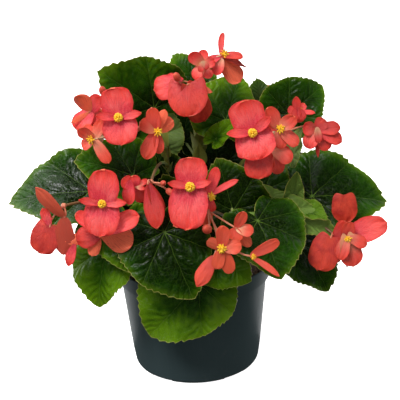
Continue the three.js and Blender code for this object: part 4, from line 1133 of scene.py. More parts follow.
SEEN = {
    "a1": dict(middle=(119, 118), depth=-88, face=(-8, 22), petals=[
        upper_seen(115, 88, 29, (-10, 26)), lower_seen(122, 145, 31),
        *slim_seen((96, 116, 8), (141, 113, 8)),
    ]),
    "c1": dict(middle=(253, 133), depth=-98, face=(-10, 18), petals=[
        upper_seen(243, 101, 31, (-12, 24)), lower_seen(259, 159, 35, heart=0.15),
        *slim_seen((227, 134, 9), (271, 117, 9)),
    ]),
    "d1": dict(middle=(102.5, 204), depth=-125, face=(-5, 22), petals=[
        upper_seen(105, 170, 27, (-6, 26), root=0.4, point=0.7, full=0.05),
        lower_seen(100, 237, 31, point=0.85), *slim_seen((79, 200, 7), (126, 203, 8)),
    ]),
    "f1": dict(middle=(136, 187), depth=-112, face=(-50, 0), petals=[
        seen(122, 180, 3, 12, (-10, 30), cup=0.4, dull=0.2),
        seen(129, 204, 5, 12, (-20, 10), base=(130, 180), cup=0.3, point=1.1),
        seen(143, 202, -3, 13, (10, 10), base=(137, 182), cup=0.3, dull=0.5),
        seen(126, 193, 0, 12, cup=0.3),
        seen(147, 180, 0, 5, pale=1.0), seen(133, 176, 1, 11, cup=0.3),
        seen(145, 189, 3, 4, pale=1.0, point=1.4),
    ]),
    "g1": dict(middle=(190, 187), depth=-140, face=(0, 20), petals=[
        upper_seen(192, 158, 27, (-2, 26)), lower_seen(186, 230, 33, nearer=11, full=0.0, heart=0.1),
        *slim_seen((168, 183, 7), (211, 182, 7)),
    ]),
    "a2": dict(middle=(94, 139), depth=-82, face=(-50, 5), warm=0.5, petals=[
        seen(109, 163, 6, 11, (-15, 30), cup=0.3, pale=0.6), seen(79, 129, 3, 12, (-30, 10), pale=0.4),
        seen(102, 121, -4, 11, pale=0.6), seen(85, 125, -5, 10),
        seen(82, 147, -2, 11, (-60, 0), pale=0.5),
    ]),
    "a3": dict(middle=(90, 112), depth=-66, face=(-50, 20), petals=[
        seen(77, 96, 4, 16, (160, 10), cup=0.5, heart=0.1),
        seen(77, 130, 6, 19, (-20, 30), cup=0.35, heart=0.15),
        seen(71, 123, 8, 5, (180, -10), point=1.4), seen(100, 96, 5, 14, cup=0.2),
        seen(101, 122, 2, 14, cup=0.2, pale=0.3),
    ]),
    "a4": dict(middle=(156, 131), depth=-78, face=(30, 0), warm=0.5, petals=[
        seen(152, 108, 3, 13, (-10, 0), cup=0.45), seen(140, 122, 5, 13, (20, 20), pale=0.5, cup=0.3),
        seen(145, 158, 6, 14, (10, 35), cup=0.2, point=0.9), seen(160, 153, 2, 10, (30, 30), cup=0.3),
        seen(173, 120, -5, 13, (170, 0), cup=0.3), seen(165, 110, -2, 9, (160, 0), cup=0.4),
    ]),
    "b5": dict(middle=(178, 80), depth=-34),
    "b1": dict(middle=(187, 85), depth=-33, face=(180, -50), petals=[
        seen(189, 116, 9, 36, (-4, 28), heart=0.3, root=0.35, point=0.75, full=-0.1,
             cup=-0.22, curl=-20, dull=0.6),
        seen(205, 121, -2, 26, (10, 20), heart=0.1, cup=-0.2, dull=1.0),
        seen(212, 92, 0, 7, (170, 0), point=1.4), seen(170, 97, -3, 7, point=1.4),
    ]),
    "b2": dict(middle=(179, 84), depth=-30, face=(-20, -60), petals=[
        seen(154, 90, -2, 23, (-10, 20), heart=0.25, cup=-0.15, curl=-15), seen(166, 77, -5, 12),
    ]),
    "b3": dict(middle=(203, 65), depth=-18, face=(-20, -15), petals=[
        seen(191, 53, 3, 13, (-25, 15), pale=0.8, cup=0.4), seen(203, 50, -2, 10, pale=0.8),
        seen(215, 61, 2, 10, (20, 15), pale=0.8, cup=0.3),
        seen(210, 78, 5, 10, (10, 30), pale=0.6, cup=0.2),
        seen(195, 79, 3, 12, (-20, 30), pale=0.8, cup=0.3, heart=0.2),
        seen(200, 72, 9, 6, base=(203, 61), pale=1.0), seen(208, 69, 9, 6, base=(202, 61), pale=1.0),
    ]),
    "b4": dict(middle=(221, 56), depth=-12, face=(70, 35), petals=[
        seen(223, 33, 0, 8, (-50, 10), cup=0.4, dull=0.3),
        seen(243, 57, 4, 10, (30, 50), cup=0.3, curl=-25, dull=0.6),
        seen(242, 65, 2, 7, (30, 50), dull=0.9),
        seen(207, 62, 4, 8, (-20, 20), cup=0.3), seen(216, 75, 6, 11, (0, 20), pale=0.9, cup=0.3),
        seen(240, 82, -2, 18, BACK, cup=0.3, point=0.8), seen(246, 67, 0, 3, point=1.5, dull=1.0),
    ]),
    "c2": dict(middle=(279, 129), depth=-84, face=(20, 15), warm=0.4, petals=[
        seen(268, 108, 3, 13, cup=0.3, pale=0.3), seen(295, 117, 4, 13, (20, 25), pale=0.7, cup=0.3),
        seen(298, 145, 3, 13, (20, 30), pale=0.3, cup=0.2), seen(281, 148, 4, 12, pale=0.4, cup=0.2),
        seen(265, 122, 0, 10),
    ]),
    "c3": dict(middle=(258, 154), depth=-96, face=(0, -40), petals=[
        seen(259, 179, 6, 25, (-6, 22), heart=0.32, cup=-0.25, curl=-22, dull=0.5),
        seen(238, 155, 2, 11, (-10, 60), cup=0.5, curl=15), seen(272, 158, -3, 10, cup=0.4),
    ]),
    "c4": dict(middle=(272, 148), depth=-84, face=(30, -30), warm=0.3, petals=[
        seen(291, 161, 5, 15, (10, 30), cup=0.35, pale=0.6, curl=-20),
        seen(279, 173, 3, 14, cup=0.3, curl=-15),
        seen(272, 168, 4, 7, (-30, 20), pale=0.9, cup=0.3), seen(290, 150, -2, 7),
    ]),
    "c5": dict(middle=(298, 112), depth=-54, face=(30, 35), petals=[
        seen(296, 97, 2, 8, (-20, 20), cup=0.4, point=1.3, dull=0.4), seen(288, 109, 0, 8, dull=0.4),
        seen(315, 113, 3, 6, (10, 60), point=1.1), seen(300, 122, 4, 10, dull=0.5),
        seen(305, 104, -3, 7),
        seen(294, 119, 8, 9, base=(299, 107), dull=0.4),
        seen(304, 119, 8, 8, base=(297, 108), dull=0.2),
    ]),
    "c6": dict(middle=(316, 129), depth=-60, face=(20, -20), petals=[
        seen(342, 142, 4, 14, (10, 30), cup=0.4, point=1.1, curl=-15, dull=0.4),
        seen(340, 128, 1, 13, (10, 30), cup=0.4, point=1.1, dull=0.6),
        seen(308, 148, 6, 14, (-20, 20), cup=0.5, pale=0.4, dull=0.3),
        seen(303, 128, 3, 13, (-20, 10), cup=0.5, pale=0.2, dull=0.4),
        seen(328, 150, 5, 13, pale=0.5, cup=0.3, dull=0.3), seen(318, 157, 6, 4, point=1.5, dull=0.8),
        seen(325, 120, -2, 13, cup=0.3, dull=0.7),
        seen(319, 143, 8, 7, base=(317, 127), pale=1.0, cup=0.4),
    ]),
    "d2": dict(middle=(105, 230), depth=-120, face=(40, -50), petals=[
        seen(139, 216, 5, 18, (10, 40), cup=0.3, heart=0.1, curl=-12),
        seen(131, 246, 0, 23, BACK, cup=0.35, heart=0.2),
        seen(76, 214, -3, 13, (-10, 30), cup=0.35, curl=-20),
    ]),
    "d3": dict(middle=(98, 234), depth=-108, face=(-10, -70), petals=[
        seen(77, 240, 3, 19, (-10, 10), cup=-0.3, curl=-25, heart=0.15, dull=0.4),
        seen(68, 266, 6, 10, (-20, 25), base=(75, 244), point=1.5, cup=0.3),
        seen(92, 256, 2, 11, (180, -20), cup=0.5), seen(66, 242, -2, 10, (160, -10), cup=0.3),
    ]),
    "e1": dict(middle=(50, 226), depth=-98, face=(-10, -60), petals=[
        seen(39, 253, 5, 27, (-8, 22), heart=0.15, root=0.35, point=0.7, full=0, cup=-0.2,
             curl=-18, dull=0.8),
        seen(43, 208, -2, 9, point=1.3),
        seen(60, 240, -4, 16, BACK, cup=0.3),
    ]),
    "e2": dict(middle=(65, 217), depth=-102, face=(-80, -5), petals=[
        seen(36, 188, 2, 13, (175, 10), cup=0.35, curl=35, point=1.35, dull=0.5),
        seen(63, 254, 4, 20, (165, -15), cup=0.5, curl=15, point=1.1, dull=0.9),
    ]),
    "f2": dict(middle=(148, 183), depth=-118, face=(0, -80), petals=[
        seen(157, 228, 4, 18, (-15, 10), cup=-0.35, curl=12, point=1.3, root=1.1, dull=0.35, full=0.35),
        seen(163, 214, -3, 11, (10, 10), cup=0.3, point=1.2, dull=0.7),
    ]),
    "g2": dict(middle=(208, 196), depth=-128, face=(60, 5), petals=[
        seen(238, 180, 2, 6, (0, 40), cup=0.5, curl=-15), seen(217, 168, -2, 10, cup=0.2),
        seen(206, 227, -6, 10, BACK), seen(174, 226, -12, 12, BACK), seen(212, 212, -4, 9),
    ]),
    "h1": dict(middle=(222, 248), depth=-150, face=(-5, 15), warm=0.7, petals=[
        seen(207, 241, -2, 11, (150, 0), cup=0.3, dull=0.3),
        seen(223, 226, 1, 12, (10, 10), cup=0.5, curl=-15),
        seen(241, 246, 1, 13, (10, 30), cup=0.2, pale=0.3),
        seen(231, 273, 4, 12, cup=0.15, dull=0.8, point=0.85),
        seen(216, 269, 5, 11, cup=0.15, dull=0.8, point=0.85),
    ]),
    "h2": dict(middle=(214, 256), depth=-148, face=(-60, -50), warm=0.4, petals=[
        seen(197, 286, 5, 14, (-10, 20), cup=-0.35, point=1.5, curl=-10, dull=0.3),
        seen(201, 281, -3, 10, BACK, point=1.5, cup=0.4),
    ]),
    "h3": dict(middle=(236, 228), depth=-136, face=(20, 10), warm=0.6, petals=[
        seen(244, 212, 2, 10, (10, 10), cup=0.3, dull=0.3), seen(239, 241, 4, 9, (-20, 25), cup=0.3),
        seen(253, 232, 3, 11, (20, 25), pale=1.0, cup=0.3), seen(250, 246, -2, 10, BACK, cup=0.4),
        seen(229, 238, 0, 8),
    ]),
    "h5": dict(middle=(250, 256), depth=-150, face=(85, -5), stamens=True, warm=0.6, petals=[
        seen(278, 241, 5, 10, (10, 10), cup=0.3, curl=-12, point=0.6, root=1.1),
        seen(279, 276, 5, 7, (20, 60), cup=0.45, point=1.3),
    ]),
    "i1": dict(middle=(331, 237), depth=-98, face=(-40, -60), petals=[
        seen(318, 270, 6, 28, (-6, 24), heart=0.1, root=0.5, point=0.7, full=0, cup=-0.2,
             curl=-18, dull=0.85),
        seen(338, 262, -4, 13, BACK, cup=0.4),
    ]),
    "i2": dict(middle=(344, 195), depth=-76, face=(20, -70), behind=(352, 205), petals=[
        seen(345, 222, 5, 23, (-5, 12), cup=-0.35, curl=-30, heart=0.12, root=0.45,
             point=0.8, full=0, dull=1.0),
        seen(352, 216, -4, 16, BACK, cup=0.4),
    ]),
    "i3": dict(middle=(353, 235), depth=-88, face=(80, 20), petals=[
        seen(387, 223, 5, 23, (-10, 35), cup=0.35, curl=-18, heart=0.15, full=0, dull=0.35),
        seen(345, 221, 5, 12, base=(334, 243), dull=0.6), seen(366, 246, -3, 11, BACK),
    ]),
    "i4": dict(middle=(347, 236), depth=-99, face=(10, -30), case=False, warm=0.15, petals=[
        seen(354, 266, 5, 21, (10, 30), pale=0.8, cup=0.35, curl=15, heart=0.15, dull=0.4),
        seen(340, 259, 7, 13, (-20, 20), pale=0.4, cup=0.5, dull=0.5),
        seen(350, 222, -4, 12, base=(345, 241), dull=0.7),
        seen(347, 268, 4, 4, point=1.5, dull=1), seen(366, 245, 2, 12, (30, 20), pale=0.4, dull=0.4),
    ]),
}


def spot_seen(pixel, depth):
    """The point, in millimetres, that the camera sees at a pixel of the photo at a depth in Y."""
    across, down = pixel
    way = Vector((across - IMAGE_SIDE / 2, IMAGE_SIDE / 2 - down, -FOCAL_PIXELS))
    way = camera_turn.to_3x3() @ way
    start = Vector(CAMERA_PLACE) / MM
    return np.array(start + way * (depth - start.y) / way.y)


for stem in STEMS:
    for spray in stem["sprays"]:
        for place, bloom in enumerate(spray["blooms"], 1):
            shown = SEEN.get(f"{spray['name']}{place}")
            if shown:
                bloom.update(shown, at=spot_seen(shown["middle"], shown["depth"]))
print("blooms with their own petals:", len(SEEN))

# %% [markdown]
# ## The kinds of bloom
#
# Male blooms have two broad petals and two slim ones. Female blooms have five and a winged seed case.
# In half-open blooms the broad pair still cups the middle, and folded ones are shut into a drop. Each
# petal is given by where it stands around the middle, its size, how far it is raised toward the
# front, and its curl and cup.

# %% Kinds of bloom
FLOWER_SEAT = 1.2
SEED_CASE_LENGTH = 11
SEED_CASE_DEPTH = 8
PETAL_THICKNESS = 0.5
HEART_TURN = 0.45
USUAL_PETAL = dict(
    root=0.75, point=0.85, full=0.25, heart=0, curl=-10, cup=0.2, twist=0, level=0, pale=0, dull=0,
)

broad = dict(width=33, length=28, full=0.25, point=0.8, root=0.7)
slim = dict(width=11, length=21, full=0.15, point=1.5, root=1.1)
five = dict(width=13, length=17, full=0.5, raised=20, curl=-18, cup=0.2, twist=18)
fold = dict(width=19, length=34, full=0.2, raised=76, curl=14, cup=0.2, point=1.3)
KINDS = {
    "male": [
        dict(broad, around=90, raised=14, curl=-12, cup=0.12, level=-1),
        dict(
            broad, around=270, raised=6, curl=-25, cup=0.12, level=-1, width=36,
            full=-0.05, point=0.9, root=0.55,
        ),
        dict(slim, around=0, raised=22, curl=-12, cup=0.4, level=0.1),
        dict(slim, around=180, raised=22, curl=-12, cup=0.4, level=0.1),
    ],
    "female": [
        dict(five, around=90 + 72 * place, length=length)
        for place, length in enumerate((17, 19, 15, 18, 16))
    ],
    "half": [
        dict(broad, around=90, raised=50, curl=14, cup=0.35),
        dict(broad, around=270, raised=50, curl=14, cup=0.35),
        dict(slim, around=0, raised=62, curl=10, cup=0.5, length=15),
        dict(slim, around=180, raised=62, curl=10, cup=0.5, length=15),
    ],
    "folded": [dict(fold, around=90), dict(fold, around=270)],
}


def flower_axes(bloom):
    """The middle of a bloom and the ways to its right, up and forward."""
    forward = direction(bloom["face"])
    upward = turned_about(unit(UP - forward[2] * forward), forward, bloom["roll"])
    return np.array(bloom["at"], float), np.cross(upward, forward), upward, forward


def set_in_flower(piece, bloom, size=1.0):
    """Moves a piece made around the origin, facing +Z, to its flower."""
    at, right, upward, forward = flower_axes(bloom)
    set_points(piece, (at + size * points_of(piece) @ np.array([right, upward, forward])) * MM)
    return piece


def petal_in_kind(shape, bloom, phase):
    """Start, length, width, the ways along and out, and curl of a petal of a plain kind of bloom."""
    at, right, upward, forward = flower_axes(bloom)
    around, tilt = math.radians(shape["around"]), math.radians(shape["raised"] + 5 * math.sin(phase))
    away = right * math.cos(around) + upward * math.sin(around)
    along = away * math.cos(tilt) + forward * math.sin(tilt)
    out = turned_about(forward * math.cos(tilt) - away * math.sin(tilt), along, shape["twist"])
    start = at + away * 0.3 + forward * shape["level"]
    width = shape["width"] * bloom["size"] * (1 + 0.06 * math.sin(2.3 * phase))
    curl = math.radians(shape["curl"] + 8 * math.cos(1.7 * phase))
    return start, shape["length"] * bloom["size"], width, along, out, curl


def petal_as_seen(shape, bloom):
    """The same for a petal whose tip the photo shows."""
    start = np.array(bloom["at"]) + direction(bloom["face"]) * shape["level"]
    if "base" in shape:
        start = spot_seen(shape["base"], bloom["depth"] - shape["nearer"])
    tip = spot_seen(shape["tip"], bloom["depth"] - shape["nearer"])
    chord = unit(tip - start)
    out = direction(shape["face"])
    out = unit(out - out.dot(chord) * chord)
    curl = math.radians(shape["curl"])
    half = curl / 2
    along = chord * math.cos(half) - out * math.sin(half)
    out = out * math.cos(half) + chord * math.sin(half)
    length = np.linalg.norm(tip - start) * half / math.sin(half)
    return start, length, shape["width"], along, out, curl


def make_petal(shape, bloom, phase):
    """A bent, cupped and ruffled copy of the flat petal. The phase shifts its waves."""
    shape = dict(USUAL_PETAL, **shape)
    placed = petal_as_seen(shape, bloom) if "tip" in shape else petal_in_kind(shape, bloom, phase)
    start, length, width, along, out, curl = placed
    across = np.cross(out, along)
    turn = curl / length
    share = (1 - np.cos(PETAL_TURN)) / 2
    power = shape["root"] * (1 - share) + shape["point"] * share
    outline = np.sin(PETAL_TURN).clip(0) ** power * (1 - shape["full"] * np.cos(PETAL_TURN))
    frill = 0.04 * np.sin(5 * PETAL_TURN + phase) + 0.016 * np.sin(13 * PETAL_TURN + 2 * phase)
    x = width / 2 * outline / outline.max() * PETAL_SIDE * (1 + frill * share)
    back = PETAL_TURN / HEART_TURN * np.exp(1 - PETAL_TURN / HEART_TURN)
    reach = share * length * (1 + 0.02 * np.sin(4 * PETAL_SIDE + phase) * share**2)
    reach -= shape["heart"] * length * back * abs(PETAL_SIDE)**1.5
    ruffle = 0.035 * width * share**2 * PETAL_SIDE**2 * np.sin(6 * PETAL_SIDE + 3 * share + phase)
    ruffle += 0.012 * width * share * np.cos(9 * PETAL_SIDE + phase)
    ruffle += 0.02 * width * share * (1 - PETAL_SIDE**2) * np.sin(4 * share + phase)
    lift = shape["cup"] * x**2 / width + ruffle
    angle = turn * reach
    points = start + np.outer(np.sin(angle) * (1 / turn - lift), along)
    points += np.outer((1 - np.cos(angle)) / turn + lift * np.cos(angle), out) + np.outer(x, across)
    petal = copy_of(flat_petal, "petal")
    set_points(petal, points * MM)
    lay_flat(petal, "petal_map", np.column_stack((share, x / (width / 2))))
    number_each_point(petal, "rim", np.maximum(abs(PETAL_SIDE), share))
    number_each_point(petal, "pale", shape["pale"])
    number_each_point(petal, "dull", shape["dull"])
    number_each_point(petal, "warm", bloom.get("warm", 0.0))
    only(petal)
    bpy.ops.object.mode_set(mode="EDIT")
    bpy.ops.mesh.select_all(action="SELECT")
    bpy.ops.mesh.remove_doubles(threshold=1e-6)
    bpy.ops.object.mode_set(mode="OBJECT")
    apply_modifier(
        petal, "SOLIDIFY", thickness=PETAL_THICKNESS * MM, offset=0,
        material_offset=1, material_offset_rim=0,
    )
    smooth(petal, 60)
    return petal


print("kinds:", ", ".join(KINDS))

# %% [markdown]
# ## Buds, seed cases and stalks of a spray
#
# A bud is a drop with a groove where its two petals meet. A seed case has three thin wings. Both start
# as a sphere, whose points are moved along a profile by their height, as a potter's profile tool does.

# %% Buds, seed cases and hubs
BUD_RADIUS = 4.1
SEED_CASE_RADIUS = 4.6
HUB_RADIUS = 2.4
PEDICEL_RADIUS = 0.8
PEDICEL_BOW = 0.4
PEDICEL_BEHIND = 14

bpy.ops.mesh.primitive_uv_sphere_add(segments=30, ring_count=18, radius=1)
bud = bpy.context.object
bud.data.materials.append(BUD_SKIN)
ball = points_of(bud)
around = np.arctan2(ball[:, 1], ball[:, 0])
belly = np.sqrt(np.maximum(1 - ball[:, 2]**2, 0))


def set_profile(piece, radius, height):
    """Puts each point of the ball at a radius and a height, and leaves the angle it stands at."""
    set_points(piece, np.column_stack((radius * np.cos(around), radius * np.sin(around), height)))


groove = 1 - 0.16 * np.exp(-(np.sin(around) / 0.16)**2)
height = np.interp(ball[:, 2], [-1, -0.5, 0.4, 0.8, 1], [-1, 1.2, 7.2, 9.6, 11])
set_profile(bud, BUD_RADIUS * belly * groove, height)
smooth(bud, 60)

seed_case = copy_of(bud, "seed_case")
seed_case.data.materials[0] = SEED_CASE
wings = 0.4 + 0.9 * abs(np.cos(1.5 * around))**7
narrowed = np.interp(ball[:, 2], [-1, 1], [1.2, 0.5])
height = np.interp(ball[:, 2], [-1, -0.4, 0.5, 1], [-SEED_CASE_LENGTH, -8.5, -3, FLOWER_SEAT])
set_profile(seed_case, SEED_CASE_RADIUS * belly * wings * narrowed, height)

hub_knob = copy_of(bud, "hub")
hub_knob.data.materials[0] = FLOWER_STALK
set_points(hub_knob, ball * HUB_RADIUS * (1 + 0.08 * np.sin(5 * around))[:, None])


def make_pedicel(bloom, hub):
    """The stalk of one bloom, from the spray's hub to the bloom's back."""
    at, _, _, forward = flower_axes(bloom)
    end = at + forward * (-SEED_CASE_DEPTH if bloom["kind"] == "female" else FLOWER_SEAT)
    bow = end - forward * PEDICEL_BOW * np.linalg.norm(end - hub)
    if "behind" in bloom:
        bow = spot_seen(bloom["behind"], bloom["depth"] + PEDICEL_BEHIND)
    return tube(quadratic(hub, bow, end), PEDICEL_RADIUS, FLOWER_STALK)


print("bud:", len(ball), "points")

# %% [markdown]
# ## Putting the sprays together
#
# A spray is its branch, the knob at the branch's end and then each bloom with its own stalk. The phase
# of a petal's waves goes on from bloom to bloom, so that no two petals wave alike.

# %% Flower sprays
for stem in STEMS:
    for spray in stem["sprays"]:
        hub = np.array(spray["hub"], float)
        parts = [tube(spray_knots(spray, stem), BRANCH_RADIUS, BRANCH_STALK, start=BRANCH_SHARE)]
        knob = copy_of(hub_knob, "hub_knob")
        set_points(knob, (hub + points_of(knob)) * MM)
        parts.append(knob)
        for place, bloom in enumerate(spray["blooms"]):
            parts.append(make_pedicel(bloom, hub))
            if bloom["kind"] == "bud":
                parts.append(set_in_flower(copy_of(bud, "bud"), bloom, bloom["size"]))
                continue
            for turn, shape in enumerate(bloom.get("petals", KINDS[bloom["kind"]])):
                phase = hub[0] + 2.3 * place + 1.7 * turn
                parts.append(make_petal(shape, bloom, phase))
            if bloom["kind"] == "female" and bloom.get("case", True):
                parts.append(set_in_flower(copy_of(seed_case, "case"), bloom))
        whole = joined(parts, f"begonia_spray_{spray['name']}")
        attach(whole, "root")
        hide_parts(f"flower_spray_{spray['name']}")
        print(whole.name, len(spray["blooms"]), "blooms,", len(whole.data.polygons), "faces")
delete(flat_petal, bud, seed_case, hub_knob)

# %% [markdown]
# ## Stamens and stigmas
#
# A male bloom's middle is a tight dome of small oblong anthers, a female one's a tuft of longer
# fingers. Both are modelled once from one stretched ball. The balls are spread by the golden angle,
# which is how plants space such things, so that no two line up.

# %% Stamen knots
GOLDEN_ANGLE = math.pi * (3 - math.sqrt(5))
KNOT_SIZE = 1.14
KNOT_CENTRE = np.array([0, 0, 2.6])


def knot(name, count, spread, reach, size):
    """A dome of count oblong balls around +Z, out to an angle of spread degrees."""
    bpy.ops.mesh.primitive_uv_sphere_add(segments=8, ring_count=6, radius=1)
    grain = bpy.context.object
    bpy.ops.object.shade_smooth()
    grain.data.materials.append(STAMEN)
    ball = points_of(grain)
    grains = []
    for place in range(count):
        tilt = math.radians(spread) * math.sqrt((place + 0.5) / count)
        turn = GOLDEN_ANGLE * place
        way = Vector((math.sin(tilt) * math.cos(turn), math.sin(tilt) * math.sin(turn), math.cos(tilt)))
        axes = np.array(way.to_track_quat("Z", "Y").to_matrix()).T
        one = copy_of(grain, "grain")
        stretch = np.array(size) * (1 + 0.12 * math.sin(7.3 * place))
        centre = KNOT_CENTRE + np.array(way) * (reach - size[2])
        set_points(one, centre + (ball * stretch) @ axes)
        grains.append(one)
    column = copy_of(grain, "column")
    set_points(column, ball * [1.6, 1.6, 1.8] + KNOT_CENTRE)
    delete(grain)
    return joined([column, *grains], name)


anthers = knot("anthers", 30, 105, 3.6, (0.72, 0.6, 1.35))
stigmas = knot("stigmas", 16, 100, 4.1, (0.6, 0.5, 1.9))
small_knots = []
for stem in STEMS:
    for spray in stem["sprays"]:
        for place, bloom in enumerate(spray["blooms"], 1):
            if bloom.get("stamens"):
                small_knots.append(set_in_flower(copy_of(anthers, "small"), bloom, bloom["size"]))
            if bloom["kind"] not in ("male", "female"):
                continue
            pattern = anthers if bloom["kind"] == "male" else stigmas
            whole = set_in_flower(copy_of(pattern, "knot"), bloom, KNOT_SIZE * bloom["size"])
            whole.name = whole.data.name = f"begonia_middle_{spray['name']}{place}"
            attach(whole, "root")
            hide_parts(f"stamens_{spray['name']}{place}")
delete(anthers, stigmas)
inner = joined(small_knots, "begonia_side_stamens")
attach(inner, "root")
print("stamens in half-open blooms:", len(small_knots))

# %% [markdown]
# ## The pot's plastic
#
# The pot is injection moulded: a dark green-grey plastic with a satin sheen, fine vertical flow
# streaks and a little dried lime and dust in small patches.


# %% Pot finish
def pot_plastic():
    finish = Finish("pot_satin_plastic")
    place = finish.place()
    streaks = finish.noise(finish.stretched(place, (260, 260, 6)), 1.0, 4.0)
    cloud = finish.noise(place, 14.0, 4.0)
    tone = finish.mix(cloud, colour(52, 66, 68), colour(62, 76, 78))
    dust = finish.step(finish.noise(place, 220.0, 5.0), 0.55, 0.8) * finish.step(cloud, 0.45, 0.7)
    tone = finish.mix(dust * 0.25, tone, colour(98, 100, 92))
    tone = finish.mix((streaks - 0.5) * 0.2, tone, colour(84, 94, 96))
    grain = finish.noise(place, 1500.0, 2.0)
    return finish.surface(
        Base_Color=tone,
        Roughness=0.42 + 0.1 * streaks + 0.2 * dust,
        Specular_IOR_Level=0.09,
        Normal=finish.bump(grain * 0.4 + streaks, 0.00008),
    )


POT_PLASTIC = pot_plastic()
print("pot finish:", POT_PLASTIC.name)

# %% [markdown]
# ## The pot
#
# A thin-walled pot is one closed turned shape. A profile spun about Z would do. Here a circle is
# extruded and scaled step by step up the outside, over the rim and down the inside, which is how one
# would model it by hand. The notches under the base and the drain holes are then cut out of it.


# %% Turned shapes
def turned(profile, sides, rings=0):
    """A circle, extruded and scaled along steps of radius and height. Rings are inset in the last face,
    if any are asked for, and its middle is closed with a fan."""
    radius, height = profile[0]
    bpy.ops.mesh.primitive_circle_add(
        vertices=sides, radius=radius * MM, fill_type="NGON", location=(0, 0, height * MM),
    )
    bpy.ops.object.transform_apply(location=True)
    bpy.ops.object.mode_set(mode="EDIT")
    for next_radius, next_height in profile[1:]:
        rise = (0, 0, (next_height - height) * MM)
        bpy.ops.mesh.extrude_region_move(TRANSFORM_OT_translate={"value": rise})
        bpy.ops.transform.resize(value=(next_radius / radius, next_radius / radius, 1))
        radius, height = next_radius, next_height
    for _ in range(rings - 1):
        bpy.ops.mesh.inset(thickness=radius / rings * MM)
    if rings:
        bpy.ops.mesh.poke()
    bpy.ops.mesh.select_all(action="SELECT")
    bpy.ops.mesh.normals_make_consistent(inside=False)
    bpy.ops.object.mode_set(mode="OBJECT")
    return bpy.context.object


# %% Pot
POT_SIDES = 128
POT_HEIGHT = 107.5
RIM_RADIUS = 76
RIM_BAND = 14.3
POT_TOP_RADIUS = 72.8
POT_BASE_RADIUS = 63.1
POT_WALL = 1.8
BASE_FILLET = 5.6
NOTCH_COUNT = 5
NOTCH_HEIGHT = 2.5
NOTCH_WIDTH = 24
NOTCH_DEPTH = 12
DRAIN_RADIUS = 3.5


def pot_radius(height):
    """The radius of the pot's outside under the rim band, which widens evenly with the height."""
    under_band = POT_HEIGHT - RIM_BAND
    return POT_BASE_RADIUS + (POT_TOP_RADIUS - POT_BASE_RADIUS) * height / under_band


def pot_profile():
    """Radius and height of each step, up the outside and down the inside."""
    steps = []
    for share in np.linspace(0, 1, 7):
        turn = share * math.pi / 2
        radius = pot_radius(0) - BASE_FILLET * (1 - math.sin(turn))
        steps.append((radius, BASE_FILLET * (1 - math.cos(turn))))
    band = POT_HEIGHT - RIM_BAND
    steps += [(pot_radius(height), height) for height in (20, 40, 60, 80, band - 0.4)]
    steps += [(RIM_RADIUS - 0.7, band), (RIM_RADIUS - 0.1, band + 0.3), (RIM_RADIUS, band + 0.9)]
    steps += [(RIM_RADIUS, POT_HEIGHT - 0.9), (RIM_RADIUS - 0.25, POT_HEIGHT - 0.25)]
    steps += [(RIM_RADIUS - 0.8, POT_HEIGHT), (RIM_RADIUS - POT_WALL + 0.4, POT_HEIGHT)]
    steps += [(RIM_RADIUS - POT_WALL, POT_HEIGHT - 0.5), (RIM_RADIUS - POT_WALL, band + 1)]
    steps += [(pot_radius(height) - POT_WALL, height) for height in (band - 2, 60, 30, 9)]
    steps.append((pot_radius(0) - POT_WALL - BASE_FILLET, NOTCH_HEIGHT + POT_WALL))
    return steps


pot = turned(pot_profile(), POT_SIDES)
pot.name = pot.data.name = "nursery_pot"
pot.data.materials.append(POT_PLASTIC)
print("pot rings:", len(pot_profile()))


# %% Notches and drain holes
def cut_out_of_pot():
    """Cuts the piece that was just added out of the pot."""
    cutter = bpy.context.object
    bpy.ops.object.transform_apply(location=True, rotation=True, scale=True)
    apply_modifier(pot, "BOOLEAN", object=cutter, operation="DIFFERENCE", solver="EXACT")
    delete(cutter)


def spot_around(away, angle):
    """A place on the floor, away from the pot's axis in millimetres."""
    return away * math.cos(angle) * MM, away * math.sin(angle) * MM, 0


for place in range(NOTCH_COUNT):
    angle = (place + 0.25) / NOTCH_COUNT * 2 * math.pi
    centre = pot_radius(0) - NOTCH_DEPTH / 2
    bpy.ops.mesh.primitive_cube_add(
        size=MM, location=spot_around(centre + NOTCH_DEPTH / 2, angle), rotation=(0, 0, angle),
        scale=(2 * NOTCH_DEPTH, NOTCH_WIDTH, 2 * NOTCH_HEIGHT),
    )
    cut_out_of_pot()
    bpy.ops.mesh.primitive_cylinder_add(
        vertices=32, radius=DRAIN_RADIUS * MM, depth=18 * MM, location=spot_around(centre, angle),
    )
    cut_out_of_pot()
smooth(pot, 35)
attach(pot, "root")
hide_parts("pot")
print("pot faces:", len(pot.data.polygons))

# %% [markdown]
# ## The compost
#
# Peat compost is crumbly, nearly black when moist, with brown fibres and small white grains of
# perlite. Its surface is a disc of rings lifted by noise, with loose crumbs strewn over it.


# %% Compost finish
def compost_finish(name, dark, light, scale):
    finish = Finish(name)
    place = finish.place()
    grit = finish.noise(place, scale, 6.0)
    fibres = finish.noise(finish.stretched(place, (300, 60, 200)), 3.0, 4.0)
    tone = finish.ramp(grit, (0.3, dark), (0.55, light), (0.75, colour(112, 88, 62)))
    tone = finish.mix(finish.step(fibres, 0.6, 0.75) * 0.5, tone, colour(134, 104, 70))
    return finish.surface(
        Base_Color=tone, Roughness=0.85 + 0.1 * grit, Normal=finish.bump(grit + fibres * 0.5, 0.001),
    )


COMPOST = compost_finish("compost_moist", colour(30, 22, 16), colour(64, 46, 32), 260.0)
PERLITE = soft_skin(
    "perlite_white", colour(214, 208, 196), colour(188, 178, 160), colour(236, 232, 224), 300.0,
)
print("compost finish:", COMPOST.name)

# %% Compost bed
SOIL_SIDES = 96
SOIL_RINGS = 14
SOIL_GAP = 0.3
BED_RADIUS = pot_radius(SOIL_TOP - 4) - POT_WALL - SOIL_GAP - 0.2


